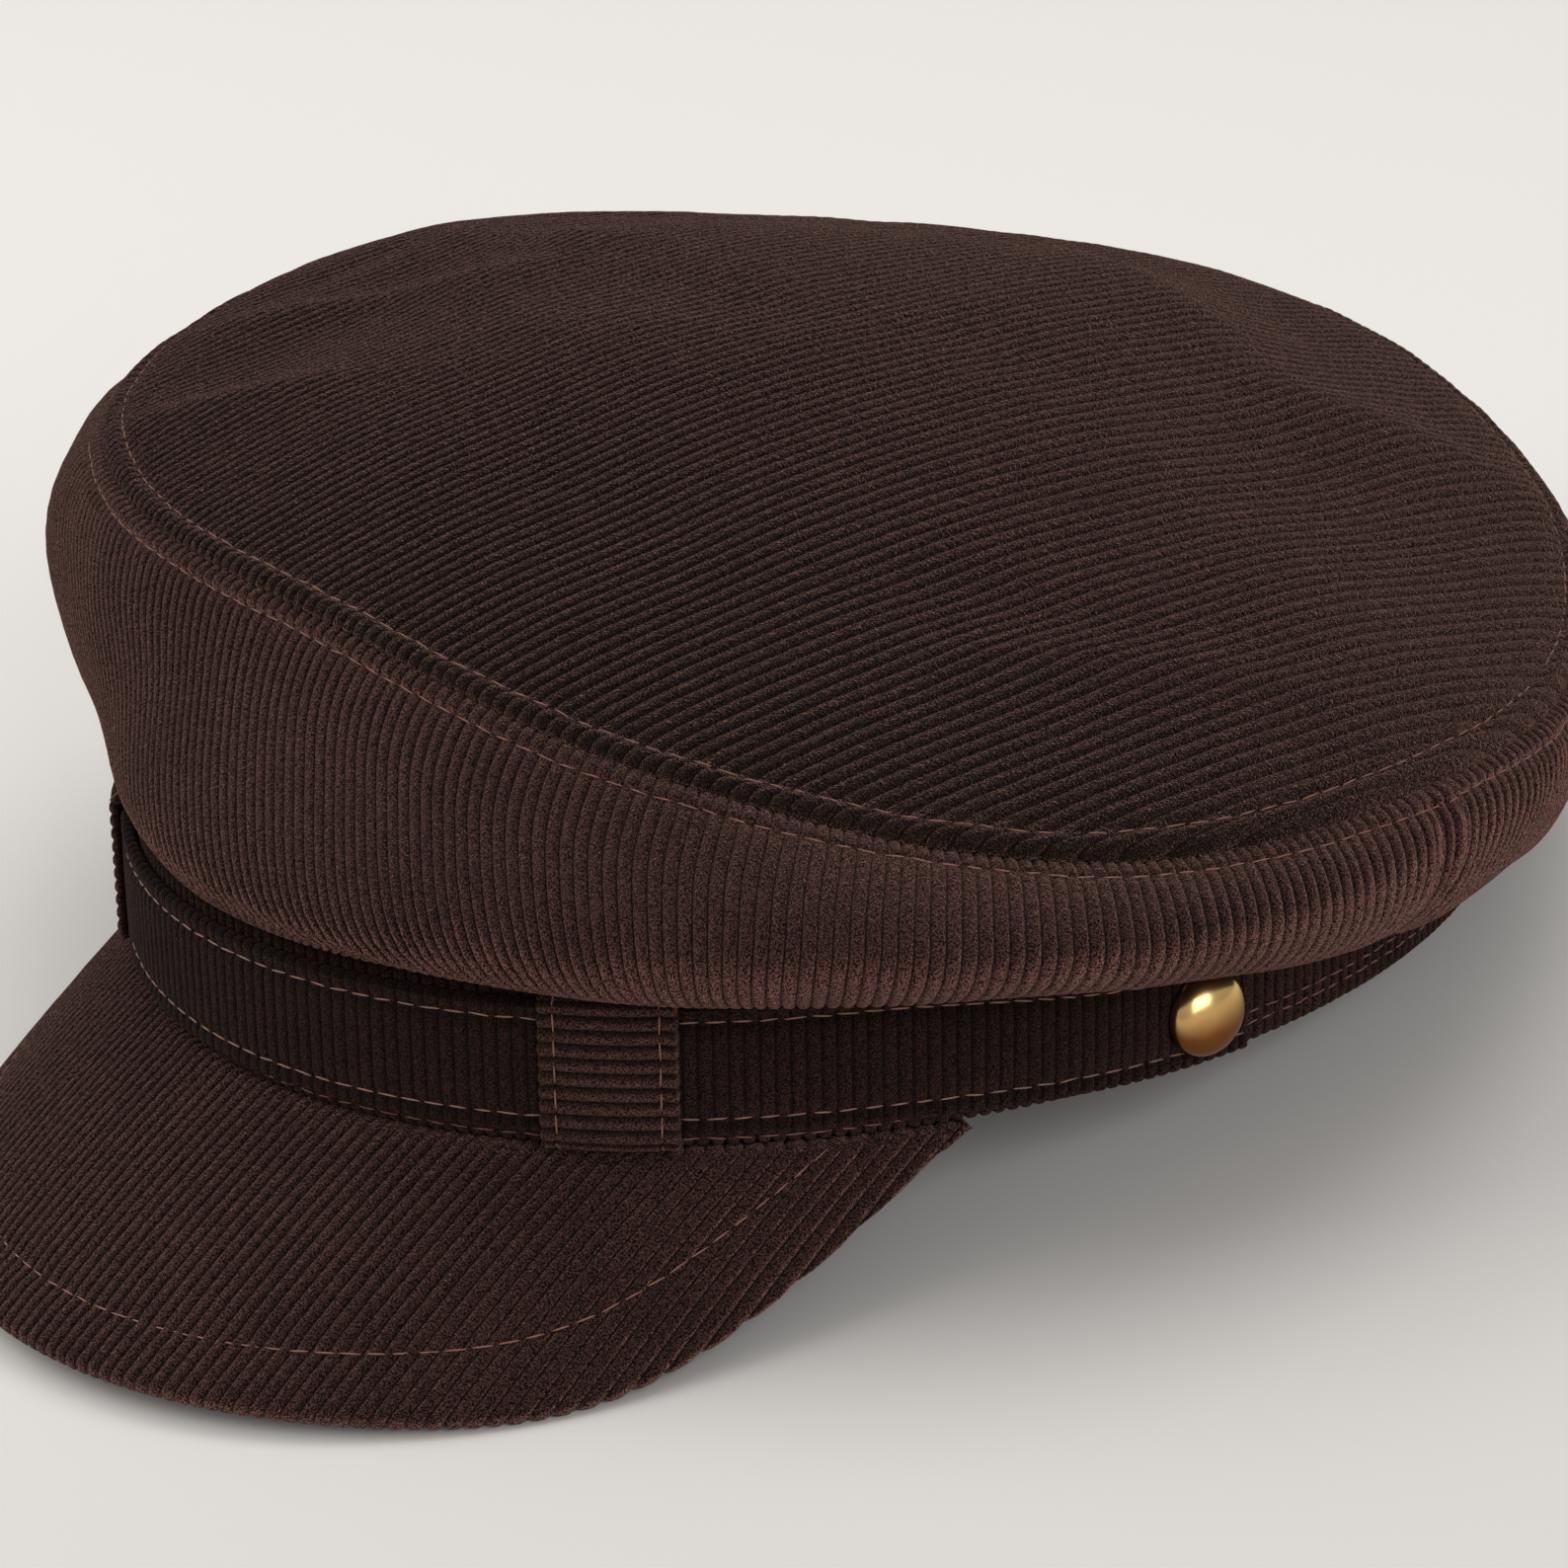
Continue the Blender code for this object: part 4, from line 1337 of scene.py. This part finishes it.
def button_profile():
    """Distance from the axis and height, from the dome's middle to the back's middle."""
    radius = BUTTON_WIDTH / 2
    profile = []
    for turn in np.radians(np.linspace(0, 90, DOME_STEPS + 1)):
        profile.append((radius * math.sin(turn), BUTTON_RIM * 0.8 + BUTTON_DOME * math.cos(turn)))
    return profile + turned_edge((radius - BUTTON_EDGE, BUTTON_EDGE), BUTTON_EDGE, 0, -90, 6) + [(0, 0)]


def make_button(name, side):
    lower, upper = strap_edges(BUTTON_DEGREES)
    degrees = side * BUTTON_DEGREES
    place = Vector(round_head(degrees, STRAP_FACE + CLEARANCE, (lower + upper) / 2))
    facing = Vector(outward(np.array(degrees))).to_track_quat("Z", "X").to_matrix()
    rings = button_profile()
    points = []
    for out, height in rings:
        for turn in np.linspace(0, math.tau, BUTTON_STEPS, endpoint=False):
            points.append(place + facing @ Vector((out * math.cos(turn), out * math.sin(turn), height)))
    faces = []
    for first in range(0, (len(rings) - 1) * BUTTON_STEPS, BUTTON_STEPS):
        for j in range(BUTTON_STEPS):
            near, far = first + j, first + (j + 1) % BUTTON_STEPS
            faces.append([near, near + BUTTON_STEPS, far + BUTTON_STEPS, far])
    mesh = bpy.data.meshes.new(name)
    mesh.from_pydata(stood(np.array(points)).tolist(), [], faces)
    mesh.materials.append(button_brass)
    return finished_piece(name + "_brass", cleaned(mesh), name)


make_button("button_left", 1)
make_button("button_right", -1)

# %% [markdown]
# ## The stitches
# Rust brown topstitching follows every seam, about eight stitches to the inch. A second Geometry
# Nodes tree walks along a curve, sets down a short thread at each pitch, a little askew, and lets it
# sink at both ends, as a pulled stitch does in a thick cloth.

# %% The stitch tree
STITCH_PITCH = 0.0033
STITCH_LENGTH = 0.0027
STITCH_ASKEW = np.array((0.10, 0.05, 0.0))
STITCH_SHORTEST, STITCH_LONGEST = 0.86, 1.08
THREAD_RADIUS = 0.00013
CROWN_THREAD = 0.00011
FINE_THREAD = 0.00012


def make_stitch_tree():
    tree, sizes, result = new_tree("stitch_row", (
        ("Pitch", "Float", STITCH_PITCH),
        ("Stitch Length", "Float", STITCH_LENGTH),
        ("Thread Radius", "Float", THREAD_RADIUS),
        ("Seed", "Int", 5),
        ("Material", "Material", None),
    ))
    seed = sizes["Seed"]
    walk = {"Curve": sizes["Geometry"], "Length": sizes["Pitch"]}
    walk = add_node(tree, "GeometryNodeCurveToPoints", walk, mode="LENGTH")
    thread = add_node(tree, "GeometryNodeMeshUVSphere", {"Segments": 6, "Rings": 6, "Radius": 1.0})
    askew = {0: -STITCH_ASKEW, 1: STITCH_ASKEW, "Seed": seed}
    askew = add_node(tree, "FunctionNodeRandomValue", askew, data_type="FLOAT_VECTOR")
    turned = {"Rotation": walk.outputs["Rotation"], "Rotate By": askew.outputs[0]}
    turned = add_node(tree, "FunctionNodeRotateRotation", turned, rotation_space="LOCAL")
    stretch = {2: STITCH_SHORTEST, 3: STITCH_LONGEST, "Seed": seed}
    stretch = add_node(tree, "FunctionNodeRandomValue", stretch, data_type="FLOAT").outputs[1]
    half = maths(tree, "MULTIPLY", maths(tree, "MULTIPLY", sizes["Stitch Length"], 0.5), stretch)
    radius = sizes["Thread Radius"]
    placed = add_node(tree, "GeometryNodeInstanceOnPoints", {
        "Points": walk.outputs["Points"],
        "Instance": thread.outputs["Mesh"],
        "Rotation": turned.outputs[0],
        "Scale": add_node(tree, "ShaderNodeCombineXYZ", {"X": radius, "Y": radius, "Z": half}).outputs[0],
    })
    realized = add_node(tree, "GeometryNodeRealizeInstances", {"Geometry": placed.outputs[0]})
    smooth = add_node(tree, "GeometryNodeSetShadeSmooth", {"Geometry": realized.outputs[0]})
    finish_tree(tree, smooth.outputs[0], sizes["Material"], result)
    return tree


STITCHES = make_stitch_tree()


def thread_material(name, dark, light):
    material, tree, shader = new_material(name)
    colour = blend(tree, noise(tree, 900.0), dark, light)
    plug_all(tree, shader, {"Base Color": colour, "Roughness": 0.55, "Sheen Weight": 0.1})
    return material


rust_thread = thread_material("rust_thread", (0.13, 0.046, 0.026), (0.23, 0.092, 0.056))
strap_thread = thread_material("strap_thread", (0.13, 0.052, 0.032), (0.26, 0.115, 0.072))


def sew(name, lines, thread=rust_thread, **sizes):
    """Stitches along some lines of points of the level cap."""
    curve = bpy.data.curves.new(name, "CURVE")
    curve.dimensions = "3D"
    for line in lines:
        spline = curve.splines.new("POLY")
        spline.points.add(len(line) - 1)
        placed = np.hstack([stood(line), np.ones((len(line), 1))])
        spline.points.foreach_set("co", placed.astype(np.float32).ravel())
    guide = add_object(name + "_guide", curve)
    mesh = grow(guide, STITCHES, material=thread, **sizes)
    bpy.data.objects.remove(guide)
    return finished_piece(name, mesh)


# %% Sew the crown
THREAD_LIFT = 0.00010
SEAM_ROW_ENDS = 0.95


def rim_stitches_on_tip():
    turn = np.linspace(-math.pi, math.pi, 700)
    reach = arm_reading(turn, ARM_REACH) - STITCH_INSET / arm_reading(turn, ARM_SQUARE)
    points = tip_surface(MIDDLE[0] + reach * np.sin(turn), MIDDLE[1] - reach * np.cos(turn))
    points[:, 2] += THREAD_LIFT
    return points


def rim_stitches_on_side():
    side = CrownSide(np.linspace(-180, 180, 700))
    return side.at(np.array([[STITCH_INSET]]))[0] + side.out * THREAD_LIFT


def side_seam_stitches(degrees, side_of_seam):
    """A row beside the seam of the two side panels, from the rim down to the fold."""
    beside = degrees + side_of_seam * STITCH_INSET / length_of_degree(degrees)
    side = CrownSide(np.array([beside]))
    down = np.linspace(STITCH_INSET, side.to_fold[0] * SEAM_ROW_ENDS, 60)[:, None]
    return side.at(down)[:, 0] + side.out[0] * THREAD_LIFT


crown_lines = [rim_stitches_on_tip(), rim_stitches_on_side()]
for seam in (BACK_SEAM_DEGREES, -BACK_SEAM_DEGREES):
    for beside in (1, -1):
        crown_lines.append(side_seam_stitches(seam, beside))
sew("crown_stitches", crown_lines, thread_radius=CROWN_THREAD)

# %% Sew the strap and keepers
KEEPER_ROW_FROM, KEEPER_ROW_TO = 0.10, 0.90


def strap_stitches(inset):
    degrees = np.linspace(-STRAP_END + 1, STRAP_END - 1, 400)
    lower, upper = strap_edges(degrees)
    share = inset / (upper - lower)
    if inset < 0:
        share = 1 + share
    points = strap_face(degrees, share)
    return points + outward(degrees) * THREAD_LIFT


sew("strap_stitches", [strap_stitches(STRAP_STITCH_INSET), strap_stitches(-STRAP_STITCH_INSET)], strap_thread)


def keeper_stitches(side, across):
    length = keeper_outline()[1][-1]
    along = np.linspace(length * KEEPER_ROW_FROM, length * KEEPER_ROW_TO, 60)
    return keeper_face(side, across, along, KEEPER_LOW - THREAD_LIFT)


keeper_lines = []
for side in (1, -1):
    for across in (1, -1):
        keeper_lines.append(keeper_stitches(side, across * (KEEPER_WIDTH / 2 - KEEPER_STITCH_INSET)))
sew("keeper_stitches", keeper_lines, thread_radius=FINE_THREAD)

# %% Sew the band and peak
BAND_ROW_FRONT = 0.0013
BAND_ROW_BACK = 0.0030
BAND_ROW_GAP = 0.0016
BAND_ROW_RISES, BAND_ROW_RISEN = 50.0, 80.0
SECOND_ROW = (88, 272)
PEAK_ROW_STOPS, PEAK_ROW_SIDES = 0.03, 0.98
PEAK_ROW_SUNK = 0.0003


def band_row(start, end, lift):
    degrees = np.linspace(start, end, 400)
    away = np.abs((degrees + 180) % 360 - 180)
    risen = smoothstep((away - BAND_ROW_RISES) / (BAND_ROW_RISEN - BAND_ROW_RISES))
    height = BAND_ROW_FRONT + (BAND_ROW_BACK - BAND_ROW_FRONT) * risen + lift
    return round_head(degrees, THREAD_LIFT, height)


def peak_row():
    """The row that follows the peak's edge at an even inset, until it meets the band."""
    x = np.linspace(-PEAK_HALF_WIDTH * 0.9995, PEAK_HALF_WIDTH * 0.9995, 1500)
    start, end = peak_ends(x)
    way = unit(np.gradient(end[:, :2], axis=0))
    inset = end[:, :2] + np.stack([-way[:, 1], way[:, 0]], axis=-1) * PEAK_STITCH_INSET
    start, end = peak_ends(np.clip(inset[:, 0], -PEAK_HALF_WIDTH, PEAK_HALF_WIDTH))
    share = (start[:, 1] - inset[:, 1]) / (start[:, 1] - end[:, 1])
    between = (share > PEAK_ROW_STOPS) & (share < 1 - PEAK_ROW_STOPS)
    inside = between & (np.abs(inset[:, 0]) < PEAK_HALF_WIDTH * PEAK_ROW_SIDES)
    points = peak_top(inset[inside, 0], share[inside])
    points[:, 2] += THREAD_LIFT - PEAK_ROW_SUNK
    return points


band_lines = [band_row(-180, 180, 0.0), band_row(*SECOND_ROW, BAND_ROW_GAP)]
sew("band_stitches", band_lines, thread_radius=FINE_THREAD)
sew("peak_stitches", [peak_row()], thread_radius=FINE_THREAD)

# %% Measure and finish
print("all pieces:", sum(count for name, count in made_pieces), "triangles")
